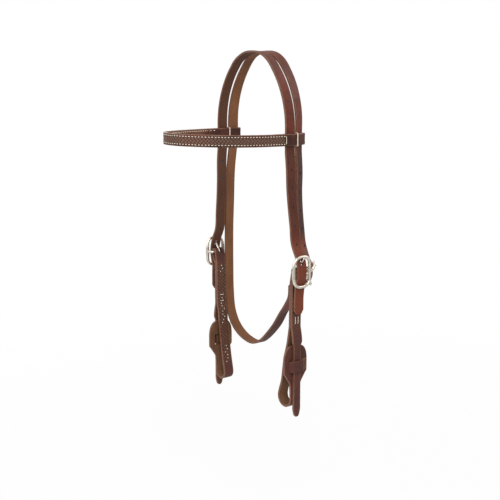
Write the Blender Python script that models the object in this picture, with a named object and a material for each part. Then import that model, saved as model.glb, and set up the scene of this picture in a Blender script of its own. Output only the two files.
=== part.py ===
import math

import bmesh
import bpy
from mathutils import Matrix, Vector

for leftover in list(bpy.data.objects):
    bpy.data.objects.remove(leftover)

# Western browband headstall at real size in metres, +Z up.
# The horse faces -Y, its near (left) side is +X and its poll rests at the origin.

# Leather and play
HEADSTALL_DROP = 0.500
STRAP_WIDTH = 0.016
CROWN_LEATHER = 0.0030
BIT_LEATHER = 0.0032
BROW_LEATHER = 0.0030
LINING_LEATHER = 0.0016
CLEARANCE = 0.0003
SLIDE_PLAY = 0.0005
EDGE_ROUND = 0.0004
EDGE_ANGLE = 60.0
SHARPEST_TURN = 60.0
ROUND_ANGLE = 42.0

# Crown arch over the poll and the split into four legs
POLL_WIDTH = 0.032
POLL_HALF_FLAT = 0.0035
POLL_RADIUS_SHARE = 0.0990
POLL_RADIUS = POLL_RADIUS_SHARE * HEADSTALL_DROP
POLL_TURN = 50.0
POLL_STEPS = 5
NEAR_SLIT_STEPS = 2
OFF_SLIT_STEPS = 3
SLIT_START = 0.0012
SLIT_END = 0.0026
TEMPLE_LINE_SHARE = 0.0158
TEMPLE_LINE = TEMPLE_LINE_SHARE * HEADSTALL_DROP
TEMPLE_RADIUS_SHARE = 0.2398
TEMPLE_RADIUS = TEMPLE_RADIUS_SHARE * HEADSTALL_DROP
TEMPLE_STEPS = 5
SLIDE_BOTTOM_SHARE = 0.2620
SLIDE_BOTTOM = SLIDE_BOTTOM_SHARE * HEADSTALL_DROP
NEAR_LEG_TURN = 22.0
OFF_LEG_TURN = 7.0

# Leg routes as shares of the drop: across, along the head, up, and the turn in degrees
CHEEK_ROUTE_SHARES = (
    (0.1540, -0.0182, -0.306, 0.0),
    (0.1556, -0.0172, -0.360, 0.0),
    (0.1600, -0.0158, -0.410, 0.0),
    (0.1662, -0.0144, -0.460, 0.0),
    (0.1726, -0.0134, -0.512, 0.0),
)
NEAR_THROAT_ROUTE_SHARES = (
    (0.1490, 0.0180, -0.320, 22.0),
    (0.1500, 0.0176, -0.372, 24.0),
    (0.1500, 0.0214, -0.424, 30.0),
    (0.1476, 0.0304, -0.476, 38.0),
    (0.1452, 0.0412, -0.514, 46.0),
)
THROAT_STRAP_ROUTE_SHARES = (
    (-0.1580, 0.0188, -0.328, 7.0),
    (-0.1640, 0.0190, -0.428, 7.0),
    (-0.1690, 0.0198, -0.505, 7.0),
    (-0.1712, 0.0206, -0.581, 6.0),
    (-0.1716, 0.0212, -0.641, 6.0),
    (-0.1706, 0.0216, -0.706, 5.0),
    (-0.1606, 0.0224, -0.773, 4.0),
    (-0.1458, 0.0234, -0.801, 3.0),
    (-0.1234, 0.0250, -0.823, 2.0),
    (-0.0898, 0.0282, -0.839, 1.0),
    (-0.0594, 0.0320, -0.844, 0.0),
    (-0.0392, 0.0350, -0.835, -2.0),
    (-0.0180, 0.0380, -0.818, -6.0),
    (0.0034, 0.0404, -0.801, -12.0),
    (0.0290, 0.0430, -0.777, -19.0),
    (0.0530, 0.0452, -0.740, -26.0),
    (0.0820, 0.0436, -0.698, -36.0),
)
ROUTE_STEPS = 3

# Oval cheek buckles and the throat buckle, each with a centre bar
CHEEK_BAR_SHARES = (0.1820, -0.0130, -0.5830)
CHEEK_BUCKLE_WIDTH = 0.0340
CHEEK_BUCKLE_HEIGHT = 0.0455
CHEEK_WIRE = 0.0042
CHEEK_TONGUE_WIRE = 0.0026
CHEEK_TONGUE_HOLE = 0.0092
THROAT_BAR_SHARES = (0.1520, 0.0634, -0.6010)
THROAT_BUCKLE_TURN = 51.0
THROAT_LEAN_TURN = 8.0
THROAT_ROLL_TURN = 14.0
THROAT_BEND_RADIUS = 0.0180
THROAT_BEND_TURN = 35.0
THROAT_BUCKLE_WIDTH = 0.0262
THROAT_BUCKLE_HEIGHT = 0.0330
THROAT_WIRE = 0.0036
THROAT_TONGUE_WIRE = 0.0022
THROAT_TONGUE_HOLE = 0.0066
CHEEK_CORNER_POWER = 3.0
THROAT_CORNER_POWER = 4.5
BUCKLE_FLAT_SHARE = 0.80
BUCKLE_STEPS = 36
BAR_TWIST_SHARE = 0.13
WIRE_SIDES = 12
BILLET_DIP = 0.0029
BILLET_TURN = 24.0
BILLET_STEPS = 8
BEND_STEPS = 3
FOLD_STEPS = 8
CHEEK_FOLD_STEPS = 10
FOLD_EASE_SHARES = ((0.28, 0.20), (0.62, 0.16))
TONGUE_TIP = 0.0024
TONGUE_TURN = 290.0
TONGUE_STEPS = 14
HOLE_SEARCH_STEPS = 40
TONGUE_SLOT = 0.0054
SLOT_SIDES = 24

# Billet tails and adjustment holes
NEAR_TAIL = 0.0605
OFF_TAIL = 0.0575
NEAR_TAIL_OUT = 0.0014
OFF_TAIL_OUT = 0.0034
THROAT_TAIL = 0.0300
THROAT_TAIL_OUT = -0.0010
TAIL_TIP = 0.0060
HOLE_WIDTH = 0.0036
HOLE_LENGTH = 0.0056
TONGUE_HOLE_WIDTH = 0.0042
HOLE_SPACING = 0.0254
CHEEK_HOLES_ABOVE_BAR = 0.0357
THROAT_HOLES_ABOVE_BAR = 0.0633
HOLES_PER_BILLET = 5

# Folded bit ends: stitched pair, tab, loop and slotted paddle, as shares of the bit drop
BIT_DROP = 0.2000
PAIR_GAP = 0.0004
PAIR_BACK_SHARES = ((-0.0285, -0.055), (-0.0340, -0.085))
PAIR_LEAN_SHARES = ((-0.0358, -0.110), (-0.0378, -0.240), (-0.0398, -0.370), (-0.0401, -0.390))
NEAR_BACK_SHARES = (
    (-0.0480, -0.440),
    (-0.0650, -0.530),
    (-0.0900, -0.620),
    (-0.1040, -0.700),
    (-0.1190, -0.800),
)
OFF_BACK_SHARES = (
    (-0.0530, -0.440),
    (-0.0590, -0.520),
    (-0.0730, -0.615),
    (-0.0880, -0.715),
    (-0.1060, -0.815),
)
FRONT_SHARES = ((-0.0120, -0.440), (-0.0045, -0.490), (-0.0055, -0.530), (-0.0075, -0.585))
STEP_SHARES = ((0.0185, -0.018), (0.0100, -0.039), (-0.0040, -0.063), (-0.0155, -0.084))
SHOULDER_SHARE = 0.500
NECK_SHARE = 0.528
TAB_OUT = -0.0015
TAB_WIDTH = 0.0120
TAB_DROP = 0.2085
TAB_TIP_WIDTH = 0.0040
TAB_TAPER = 0.0110
LOOP_DROP = 0.1830
NEAR_LOOP_RADIUS = 0.0126
OFF_LOOP_RADIUS = 0.0100
LOOP_TURN = 20.0
PADDLE_WIDTH = 0.0410
PADDLE_TOP = 0.1060
PADDLE_FOOT = 0.1640
BAND_TOP = 0.1275
BAND_HEIGHT = 0.0150
SLIT_HEIGHT = 0.0010
SLIT_WIDTH = 0.0256
BAND_FLAT_WIDTH = 0.0156
LIP_SHARES = ((0.00, 0.44), (0.12, 0.66), (0.32, 0.83), (0.62, 0.95))
TAPER_SHARES = ((0.00, 0.97), (0.22, 0.86), (0.45, 0.70), (0.68, 0.54), (0.86, 0.44))
STRAP_ROWS = 4
BIT_ROUTE_STEPS = 2

# Browband: tooled strap, lining, loops and ties
BROW_DROP_SHARE = 0.2280
BROW_DROP = BROW_DROP_SHARE * HEADSTALL_DROP
BROW_HEIGHT = 0.0159
BROW_LENGTH_RADIUS = 0.1431
BROW_CENTRE_FORWARD = 0.0080
BROW_RISE = 0.0031
BROW_STEPS = 30
LOOP_TAIL_END = 0.0360
LOOP_TAIL_STEP = 0.0020
LOOP_TAIL_SHARE = 0.86
CORNER_STEPS = 3
TIE_WIDTH = 0.0020
TIE_THICK = 0.0008

# Waxed thread tacks
THREAD = 0.0009
THREAD_HOLE = 0.0015
THREAD_SIDES = 8
HOLE_SIDES = 10
TACK_WIDTH = 0.0094
BIT_TACK_TOP = 0.0650
BIT_TACK_HEIGHT = 0.0095
THROAT_CHAPE = 0.0170
THROAT_TACK_TOP = 0.0050
THROAT_TACK_HEIGHT = 0.0060
BROW_TACK_FORWARD = 0.0270
BROW_TACK_HEIGHT = 0.0096


def make_material(name, colour, roughness, metallic):
    made = bpy.data.materials.new(name)
    made.use_nodes = True
    shader = made.node_tree.nodes["Principled BSDF"]
    shader.inputs["Base Color"].default_value = (*colour, 1.0)
    shader.inputs["Roughness"].default_value = roughness
    shader.inputs["Metallic"].default_value = metallic
    return made


def make_object(name, bm, colour, roughness, metallic, place=Matrix.Identity(4), is_round=False):
    bmesh.ops.recalc_face_normals(bm, faces=bm.faces)
    mesh = bpy.data.meshes.new(name)
    bm.to_mesh(mesh)
    bm.free()
    if is_round:
        mesh.shade_smooth()
        mesh.set_sharp_from_angle(angle=math.radians(ROUND_ANGLE))
    mesh.materials.append(make_material(name + "_finish", colour, roughness, metallic))
    made = bpy.data.objects.new(name, mesh)
    made.matrix_world = place
    bpy.context.scene.collection.objects.link(made)
    return made


def thicken(made, thickness):
    """Turn a flat leather outline into strap leather with rounded edges."""
    solid = made.modifiers.new("leather", "SOLIDIFY")
    solid.thickness = thickness
    solid.offset = 0.0
    solid.use_even_offset = True
    solid.use_rim = True
    edge = made.modifiers.new("edges", "BEVEL")
    edge.width = EDGE_ROUND
    edge.segments = 1
    edge.limit_method = "ANGLE"
    edge.angle_limit = math.radians(EDGE_ANGLE)


def cut(made, cutter_bm):
    bmesh.ops.recalc_face_normals(cutter_bm, faces=cutter_bm.faces)
    mesh = bpy.data.meshes.new(made.name + "_punch")
    cutter_bm.to_mesh(mesh)
    cutter_bm.free()
    punch = bpy.data.objects.new(made.name + "_punch", mesh)
    punch.matrix_world = made.matrix_world
    punch.hide_render = True
    punch.display_type = "WIRE"
    bpy.context.scene.collection.objects.link(punch)
    hole = made.modifiers.new("punched", "BOOLEAN")
    hole.operation = "DIFFERENCE"
    hole.solver = "EXACT"
    hole.object = punch


def smooth_route(points, steps):
    """Pass a smooth line through hand-laid points, as leather bends."""
    route = []
    last = len(points) - 1
    reach = [(points[i + 1] - points[i]).xyz.length for i in range(last)]
    slope = []
    for i in range(last + 1):
        if i == 0:
            slope.append((points[1] - points[0]) / reach[0])
        elif i == last:
            slope.append((points[last] - points[last - 1]) / reach[last - 1])
        else:
            ahead = (points[i + 1] - points[i]) / reach[i]
            behind = (points[i] - points[i - 1]) / reach[i - 1]
            slope.append((behind * reach[i] + ahead * reach[i - 1]) / (reach[i] + reach[i - 1]))
    for i in range(last):
        for j in range(steps):
            u = j / steps
            start_pull = u * (1 - u) ** 2
            end_pull = u * u * (u - 1)
            blend = u * u * (3 - 2 * u)
            bend = slope[i] * (start_pull * reach[i]) + slope[i + 1] * (end_pull * reach[i])
            route.append(points[i] * (1 - blend) + points[i + 1] * blend + bend)
    route.append(points[last])
    return route


def tangents(centres):
    found = []
    last = len(centres) - 1
    for i in range(last + 1):
        found.append((centres[min(i + 1, last)] - centres[max(i - 1, 0)]).normalized())
    return found


def add_row(bm, points):
    return [bm.verts.new(p) for p in points]


def join_rows(bm, first, second):
    """Fill between two rows of points; uneven rows meet in one flat face."""
    if len(first) == len(second):
        for k in range(len(first) - 1):
            bm.faces.new((first[k], first[k + 1], second[k + 1], second[k]))
    else:
        bm.faces.new([*first, *reversed(second)])


def add_tube(bm, points, radius, sides, closed, spread):
    """Sweep a round wire along points; spread is a direction the wire never follows."""
    rings = []
    count = len(points)
    for i in range(count):
        if closed:
            along = (points[(i + 1) % count] - points[i - 1]).normalized()
            into = (points[i] - points[i - 1]).normalized()
        else:
            along = (points[min(i + 1, count - 1)] - points[max(i - 1, 0)]).normalized()
            into = (points[max(i, 1)] - points[max(i, 1) - 1]).normalized()
        first = spread.cross(along).normalized()
        second = along.cross(first).normalized()
        stretch = 1 / max(along.dot(into), math.cos(math.radians(SHARPEST_TURN)))
        ring = []
        for k in range(sides):
            turn = math.tau * k / sides
            offset = first * (radius * stretch * math.cos(turn)) + second * (radius * math.sin(turn))
            ring.append(bm.verts.new(points[i] + offset))
        rings.append(ring)
    pairs = count if closed else count - 1
    for i in range(pairs):
        here = rings[i]
        there = rings[(i + 1) % count]
        for k in range(sides):
            m = (k + 1) % sides
            bm.faces.new((here[k], here[m], there[m], there[k]))
    if not closed:
        bm.faces.new(rings[0])
        bm.faces.new(rings[-1])


def add_punch(bm, centre, through, along, length, width, depth, sides):
    """An oblong punch: two half rounds joined by straight sides."""
    across = through.cross(along).normalized()
    straight = (length - width) / 2
    ends = []
    for face in (-1, 1):
        ring = []
        for k in range(sides + 1):
            turn = math.pi * k / sides
            reach = straight + width / 2 * math.sin(turn)
            ring.append(along * reach + across * (width / 2 * math.cos(turn)))
        for k in range(sides + 1):
            turn = math.pi * k / sides
            reach = straight + width / 2 * math.sin(turn)
            ring.append(along * -reach - across * (width / 2 * math.cos(turn)))
        if length <= width:
            ring = []
            for k in range(sides):
                turn = math.tau * k / sides
                ring.append((along * math.cos(turn) + across * math.sin(turn)) * (width / 2))
        ends.append([bm.verts.new(centre + p + through * (face * depth / 2)) for p in ring])
    bm.faces.new(ends[0])
    bm.faces.new(ends[1])
    for k in range(len(ends[0])):
        m = (k + 1) % len(ends[0])
        bm.faces.new((ends[0][k], ends[0][m], ends[1][m], ends[1][k]))


# Where each buckle sits: its own axes are out, across and up
def cheek_place(side):
    out, along, up = CHEEK_BAR_SHARES
    centre = Vector((side * out, along, up)) * HEADSTALL_DROP
    return Matrix.Translation(centre) @ Matrix.Rotation(0.0 if side > 0 else math.pi, 4, "Z")


def throat_place():
    centre = Vector(THROAT_BAR_SHARES) * HEADSTALL_DROP
    turn = Matrix.Rotation(math.radians(THROAT_BUCKLE_TURN), 4, "Z")
    lean = Matrix.Rotation(math.radians(THROAT_LEAN_TURN), 4, "Y")
    roll = Matrix.Rotation(math.radians(THROAT_ROLL_TURN), 4, "X")
    return Matrix.Translation(centre) @ turn @ lean @ roll


class Buckle:
    """Sizes of one buckle; every fit around its bar follows from its wire and leather."""

    def __init__(self, width, height, wire, tongue_wire, tongue_hole, chape_leather, corner_power):
        self.corner_power = corner_power
        self.wire = wire / 2
        self.half_width = (width - wire) / 2
        self.half_height = (height - wire) / 2
        self.tongue_wire = tongue_wire / 2
        self.tongue_hole = tongue_hole
        self.chape_inner = self.wire + CLEARANCE
        self.chape_mid = self.chape_inner + chape_leather / 2
        self.chape_outer = self.chape_inner + chape_leather
        self.billet_over = self.chape_outer + CLEARANCE + CROWN_LEATHER / 2
        lift = CROWN_LEATHER / 2 + CLEARANCE + self.wire
        self.dish = BILLET_DIP + lift / math.cos(math.radians(BILLET_TURN)) + CLEARANCE * 2
        self.ring = self.wire + CLEARANCE + self.tongue_wire

    def billet_out(self, up):
        rise = self.billet_over - BILLET_DIP
        return BILLET_DIP + rise * math.cos(math.pi / 2 * up / self.half_height)

    def tongue_line(self):
        """Unit direction of the tongue and the point midway between bar and frame."""
        reach = math.hypot(self.dish, self.half_height)
        lean = math.atan2(self.dish, self.half_height) + math.asin(2 * self.ring / reach)
        return lean, Vector((self.dish / 2, 0.0, self.half_height / 2))

    def tongue_hole_place(self):
        lean, middle = self.tongue_line()
        low = 0.0
        high = self.half_height
        for _ in range(HOLE_SEARCH_STEPS):
            up = (low + high) / 2
            out = middle.x + (up - middle.z) * math.tan(lean)
            if out < self.billet_out(up):
                low = up
            else:
                high = up
        return low


CHEEK = Buckle(
    width=CHEEK_BUCKLE_WIDTH,
    height=CHEEK_BUCKLE_HEIGHT,
    wire=CHEEK_WIRE,
    tongue_wire=CHEEK_TONGUE_WIRE,
    tongue_hole=CHEEK_TONGUE_HOLE,
    chape_leather=BIT_LEATHER,
    corner_power=CHEEK_CORNER_POWER,
)
THROAT = Buckle(
    width=THROAT_BUCKLE_WIDTH,
    height=THROAT_BUCKLE_HEIGHT,
    wire=THROAT_WIRE,
    tongue_wire=THROAT_TONGUE_WIRE,
    tongue_hole=THROAT_TONGUE_HOLE,
    chape_leather=CROWN_LEATHER,
    corner_power=THROAT_CORNER_POWER,
)
STEEL = (0.72, 0.70, 0.66)
LEATHER = (0.12, 0.045, 0.025)
LINING = (0.20, 0.085, 0.045)
THREAD_COLOUR = (0.80, 0.74, 0.62)


def build_buckle(name, buckle, place):
    bm = bmesh.new()
    points = []
    for k in range(BUCKLE_STEPS):
        turn = math.tau * k / BUCKLE_STEPS
        c = math.cos(turn)
        s = math.sin(turn)
        power = buckle.corner_power
        size = (abs(c) ** power + abs(s) ** power) ** (-1 / power)
        across = buckle.half_width * c * size
        up = buckle.half_height * s * size
        rise = min(abs(up) / (buckle.half_height * BUCKLE_FLAT_SHARE), 1.0)
        points.append(Vector((buckle.dish * rise * rise, across, up)))
    add_tube(bm, points, buckle.wire, WIRE_SIDES, True, Vector((1.0, 0.0, 0.0)))
    frame = make_object(name, bm, STEEL, 0.22, 1.0, place, True)
    bar_bm = bmesh.new()
    ends = [Vector((0.0, side * buckle.half_width, 0.0)) for side in (-1, 1)]
    add_tube(bar_bm, ends, buckle.wire, WIRE_SIDES, False, Vector((1.0, 0.0, BAR_TWIST_SHARE)))
    bmesh.ops.recalc_face_normals(bar_bm, faces=bar_bm.faces)
    mesh = bpy.data.meshes.new(name + "_bar")
    bar_bm.to_mesh(mesh)
    bar_bm.free()
    bar = bpy.data.objects.new(name + "_bar", mesh)
    bar.matrix_world = place
    bar.hide_render = True
    bar.display_type = "WIRE"
    bpy.context.scene.collection.objects.link(bar)
    weld = frame.modifiers.new("centre_bar", "BOOLEAN")
    weld.operation = "UNION"
    weld.solver = "EXACT"
    weld.object = bar


def build_tongue(name, buckle, place):
    """Wire wrapped round the bar, up through the billet and resting on the frame."""
    lean, middle = buckle.tongue_line()
    along = Vector((math.sin(lean), 0.0, math.cos(lean)))
    half = math.hypot(buckle.dish, buckle.half_height) / 2
    straight = math.sqrt(half * half - buckle.ring * buckle.ring)
    points = [middle + along * (straight + TONGUE_TIP), middle + along * straight]
    start = math.atan2((middle - along * straight).z, (middle - along * straight).x)
    for k in range(TONGUE_STEPS + 1):
        turn = start + math.radians(TONGUE_TURN) * k / TONGUE_STEPS
        points.append(Vector((buckle.ring * math.cos(turn), 0.0, buckle.ring * math.sin(turn))))
    bm = bmesh.new()
    add_tube(bm, points, buckle.tongue_wire, WIRE_SIDES, False, Vector((0.0, 1.0, 0.0)))
    make_object(name, bm, STEEL, 0.22, 1.0, place, True)


def billet_route(buckle, place, tail, tail_out):
    """Centre line of a billet over its buckle and down to its tail, frame by frame."""
    points = []
    for k in range(BILLET_STEPS + 1):
        up = buckle.half_height * (1 - 2 * k / BILLET_STEPS)
        points.append(Vector((buckle.billet_out(up), 0.0, up)))
    points.append(Vector((tail_out, 0.0, -(buckle.half_height + tail) / 2)))
    points.append(Vector((tail_out, 0.0, -tail + TAIL_TIP)))
    points.append(Vector((tail_out, 0.0, -tail)))
    return [place @ p for p in points]


def strap_edges(centre, along, side, turn, half_width):
    flat = Vector((-side * math.sin(math.radians(turn)), math.cos(math.radians(turn)), 0.0))
    across = (flat - along * flat.dot(along)).normalized()
    return across, [centre - across * half_width, centre + across * half_width]


def arch_stations():
    """Walk down one side of the head from the poll: distance out, height and heading."""
    x = POLL_HALF_FLAT
    z = CROWN_LEATHER / 2
    stations = [(x, z, 0.0)]
    step = math.radians(POLL_TURN) / POLL_STEPS
    for k in range(1, POLL_STEPS + 1):
        heading = step * k
        out = x + POLL_RADIUS * math.sin(heading)
        down = z - POLL_RADIUS * (1 - math.cos(heading))
        stations.append((out, down, heading))
    x, low, heading = stations[-1]
    x += TEMPLE_LINE * math.cos(heading)
    low -= TEMPLE_LINE * math.sin(heading)
    stations.append((x, low, heading))
    turn = (math.pi / 2 - heading) / TEMPLE_STEPS
    for k in range(1, TEMPLE_STEPS + 1):
        now = heading + turn * k
        out = x + TEMPLE_RADIUS * (math.sin(now) - math.sin(heading))
        down = low - TEMPLE_RADIUS * (math.cos(heading) - math.cos(now))
        stations.append((out, down, now))
    stations.append((stations[-1][0], -SLIDE_BOTTOM, math.pi / 2))
    return stations


STATIONS = arch_stations()
CHEEK_LEG_OUT = STATIONS[-1][0]


def slit_half(share):
    return (SLIT_START + (SLIT_END - SLIT_START) * share) / 2


def leg_start(side, slit_step, rear):
    """Rows of one leg through the arch, from the slit's start to the end of the slide."""
    rows = []
    turn_end = NEAR_LEG_TURN if side > 0 else OFF_LEG_TURN
    used = STATIONS[slit_step:]
    for i, (x, z, heading) in enumerate(used):
        share = min(i / (len(used) - 2), 1.0)
        out = Vector((side * math.sin(heading), 0.0, math.cos(heading)))
        half_gap = slit_half(share)
        width = (POLL_WIDTH - SLIT_START) / 2 * (1 - share) + STRAP_WIDTH * share
        centre = Vector((side * x, 0.0, z))
        if rear:
            turn = math.radians(turn_end * share)
            across = Vector((0.0, math.cos(turn), 0.0)) - out * math.sin(turn)
            inward = width / 2 * math.sin(turn) + CROWN_LEATHER / 2 * (math.cos(turn) - 1)
            back = half_gap + width / 2 * math.cos(turn) + CROWN_LEATHER / 2 * math.sin(turn)
            centre = centre - out * inward + Vector((0.0, back, 0.0))
            rows.append([centre - across * (width / 2), centre + across * (width / 2)])
        else:
            centre.y = -half_gap - width / 2
            rows.append([centre - Vector((0.0, width / 2, 0.0)), centre + Vector((0.0, width / 2, 0.0))])
    return rows


def from_shares(shares, side):
    drop = HEADSTALL_DROP
    return [Vector((side * x * drop, y * drop, z * drop, turn)) for x, y, z, turn in shares]


def leg_rows(route, side, half_width):
    """Rows for a routed leg, each with its centre and its direction."""
    centres = [p.xyz for p in route]
    rows = []
    for centre, along, point in zip(centres, tangents(centres), route):
        across, edges = strap_edges(centre, along, side, point.w, half_width)
        rows.append((centre, along, across, edges))
    return rows


def square_to_buckle(rows, count, place):
    """Set the last rows of a billet square to the buckle they pass through."""
    across = place.to_3x3() @ Vector((0.0, 1.0, 0.0))
    half = across * (STRAP_WIDTH / 2)
    for i in range(len(rows) - count, len(rows)):
        centre = rows[i][0]
        rows[i] = (centre, rows[i][1], across, [centre - half, centre + half])


def narrow_tip(rows, share):
    centre, along, across, edges = rows[-1]
    edges[0] = centre + (edges[0] - centre) * share
    edges[1] = centre + (edges[1] - centre) * share


def tagged(points, turn):
    return [Vector((*p, turn)) for p in points]


def hole_frames(rows, height):
    for before, after in zip(rows, rows[1:]):
        if before[0].z >= height > after[0].z:
            share = (before[0].z - height) / (before[0].z - after[0].z)
            centre = before[0].lerp(after[0], share)
            along = before[1].lerp(after[1], share).normalized()
            across = before[2].lerp(after[2], share).normalized()
            return centre, along, across
    return None


def punch_row(bm, rows, lowest, count):
    for k in range(count):
        found = hole_frames(rows, lowest + HOLE_SPACING * k)
        if found:
            centre, along, across = found
            through = along.cross(across).normalized()
            depth = CROWN_LEATHER * 2
            add_punch(bm, centre, through, along, HOLE_LENGTH, HOLE_WIDTH, depth, HOLE_SIDES // 2)


def punch_tongue_hole(bm, buckle, place):
    up = buckle.tongue_hole_place()
    step = buckle.half_height / BILLET_STEPS
    rise = buckle.billet_out(up + step) - buckle.billet_out(up - step)
    along = Vector((rise, 0.0, step * 2)).normalized()
    turn = place.to_3x3()
    centre = place @ Vector((buckle.billet_out(up), 0.0, up))
    along = turn @ along
    across = turn @ Vector((0.0, 1.0, 0.0))
    through = along.cross(across).normalized()
    depth = CROWN_LEATHER * 2
    add_punch(bm, centre, through, along, buckle.tongue_hole, TONGUE_HOLE_WIDTH, depth, HOLE_SIDES // 2)


def punch_slot(bm, buckle, place):
    """The slot in a folded chape that lets the tongue's ring turn on the bar."""
    turn = place.to_3x3()
    size = 2 * buckle.chape_outer + CLEARANCE
    across = turn @ Vector((0.0, 1.0, 0.0))
    up = turn @ Vector((0.0, 0.0, 1.0))
    add_punch(bm, place.translation, across, up, size, size, TONGUE_SLOT, SLOT_SIDES)


def throat_chape_place():
    """The straight end of the throat strap below its bend, as a place of its own."""
    turn = math.radians(THROAT_BEND_TURN)
    out = -THROAT.chape_mid - THROAT_BEND_RADIUS * (1 - math.cos(turn))
    down = -THROAT_BEND_RADIUS * math.sin(turn)
    shift = Matrix.Translation(Vector((out, 0.0, down)))
    return throat_place() @ shift @ Matrix.Rotation(turn, 4, "Y")


def chape_arc(buckle, start, end, steps):
    points = []
    for k in range(steps + 1):
        turn = math.radians(start + (end - start) * k / steps)
        points.append(Vector((buckle.chape_mid * math.cos(turn), 0.0, buckle.chape_mid * math.sin(turn))))
    return points


def tack_points(corners):
    """A closed thread through four holes, lying on the outside and the inside in turn."""
    top, bottom, front_top, front_bottom, back_top, back_bottom = corners
    half = TACK_WIDTH / 2
    return [
        Vector((front_top, -half, top)),
        Vector((front_bottom, -half, bottom)),
        Vector((back_bottom, -half, bottom)),
        Vector((back_bottom, half, bottom)),
        Vector((front_bottom, half, bottom)),
        Vector((front_top, half, top)),
        Vector((back_top, half, top)),
        Vector((back_top, -half, top)),
    ]


def add_thread(bm, path):
    """Square-cornered closed thread of round section built ring by ring."""
    count = len(path)
    rings = []
    for i in range(count):
        into = (path[i] - path[i - 1]).normalized()
        out = (path[(i + 1) % count] - path[i]).normalized()
        along = (into + out).normalized()
        side = into.cross(out).normalized()
        bend = side.cross(along).normalized()
        stretch = 1 / max(along.dot(into), math.cos(math.radians(SHARPEST_TURN)))
        rings.append((side, bend, stretch))
    made = []
    for i in range(count):
        side, bend, stretch = rings[i]
        ring = []
        for k in range(THREAD_SIDES):
            turn = math.tau * k / THREAD_SIDES
            offset = side * math.cos(turn) + bend * (stretch * math.sin(turn))
            ring.append(path[i] + offset * (THREAD / 2))
        made.append(ring)
    verts = [[bm.verts.new(p) for p in ring] for ring in made]
    for i in range(count):
        j = (i + 1) % count
        axis = (path[j] - path[i]).normalized()
        best = None
        for flip in (1, -1):
            for shift in range(THREAD_SIDES):
                cost = 0.0
                for k in range(THREAD_SIDES):
                    a = made[i][k] - path[i]
                    b = made[j][(shift + flip * k) % THREAD_SIDES] - path[j]
                    a = a - axis * a.dot(axis)
                    b = b - axis * b.dot(axis)
                    cost += (a - b).length
                if best is None or cost < best[0]:
                    best = (cost, flip, shift)
        _, flip, shift = best
        for k in range(THREAD_SIDES):
            m = (k + 1) % THREAD_SIDES
            there_k = verts[j][(shift + flip * k) % THREAD_SIDES]
            there_m = verts[j][(shift + flip * m) % THREAD_SIDES]
            bm.faces.new((verts[i][k], verts[i][m], there_m, there_k))


def build_crown():
    bm = bmesh.new()
    half = POLL_WIDTH / 2
    poll = {}
    for side, slit_step in ((1, NEAR_SLIT_STEPS), (-1, OFF_SLIT_STEPS)):
        rows = []
        for i in range(slit_step + 1):
            x, z, _ = STATIONS[i]
            edges = [-half, half]
            if i == slit_step:
                edges = [-half, -SLIT_START / 2, SLIT_START / 2, half]
            rows.append(add_row(bm, [Vector((side * x, y, z)) for y in edges]))
        for first, second in zip(rows, rows[1:]):
            join_rows(bm, first, second)
        poll[side] = rows
    join_rows(bm, poll[1][0], poll[-1][0])
    punches = bmesh.new()
    for side, slit_step in ((1, NEAR_SLIT_STEPS), (-1, OFF_SLIT_STEPS)):
        ends = poll[side][-1]
        for rear in (False, True):
            start = leg_start(side, slit_step, rear)
            last = (start[-1][0] + start[-1][1]) / 2
            turn_end = NEAR_LEG_TURN if side > 0 else OFF_LEG_TURN
            routed = []
            if not rear:
                place = cheek_place(side)
                tail = NEAR_TAIL if side > 0 else OFF_TAIL
                tail_out = NEAR_TAIL_OUT if side > 0 else OFF_TAIL_OUT
                over = billet_route(CHEEK, place, tail, tail_out)
                shares = from_shares(CHEEK_ROUTE_SHARES, side)
                points = tagged([last], 0.0) + shares + tagged([over[0]], 0.0)
                route = smooth_route(points, ROUTE_STEPS)[:-1] + tagged(over, 0.0)
                routed = leg_rows(route, side, STRAP_WIDTH / 2)
                narrow_tip(routed, TAB_TIP_WIDTH / STRAP_WIDTH * 2)
                lowest = place.translation.z + CHEEK_HOLES_ABOVE_BAR
                punch_row(punches, routed, lowest, HOLES_PER_BILLET)
                punch_tongue_hole(punches, CHEEK, place)
            elif side > 0:
                place = throat_place()
                over = billet_route(THROAT, place, THROAT_TAIL, THROAT_TAIL_OUT)
                shares = from_shares(NEAR_THROAT_ROUTE_SHARES, 1)
                points = tagged([last], turn_end) + shares + tagged([over[0]], THROAT_BUCKLE_TURN)
                route = smooth_route(points, ROUTE_STEPS)[:-1] + tagged(over, THROAT_BUCKLE_TURN)
                routed = leg_rows(route, 1, STRAP_WIDTH / 2)
                square_to_buckle(routed, len(over), place)
                narrow_tip(routed, TAB_TIP_WIDTH / STRAP_WIDTH * 2)
                lowest = place.translation.z + THROAT_HOLES_ABOVE_BAR
                punch_row(punches, routed, lowest, HOLES_PER_BILLET - 1)
                punch_tongue_hole(punches, THROAT, place)
            else:
                routed = throat_strap_rows(last)
                punch_slot(punches, THROAT, throat_place())
                chape = throat_chape_place()
                turn = chape.to_3x3()
                for up in (-THROAT_TACK_TOP, -THROAT_TACK_TOP - THROAT_TACK_HEIGHT):
                    for across in (-TACK_WIDTH / 2, TACK_WIDTH / 2):
                        centre = chape @ Vector(((CROWN_LEATHER + CLEARANCE) / 2, across, up))
                        out = turn @ Vector((1.0, 0.0, 0.0))
                        along = turn @ Vector((0.0, 0.0, 1.0))
                        depth = CROWN_LEATHER * 3
                        add_punch(punches, centre, out, along, THREAD_HOLE, THREAD_HOLE, depth, HOLE_SIDES)
            pair = ends[2:4] if rear else ends[0:2]
            before = list(pair)
            for edges in start[1:]:
                row = add_row(bm, edges)
                join_rows(bm, before, row)
                before = row
            for item in routed[1:]:
                row = add_row(bm, item[3])
                join_rows(bm, before, row)
                before = row
    crown = make_object("crown", bm, LEATHER, 0.5, 0.0)
    thicken(crown, CROWN_LEATHER)
    cut(crown, punches)


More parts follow.
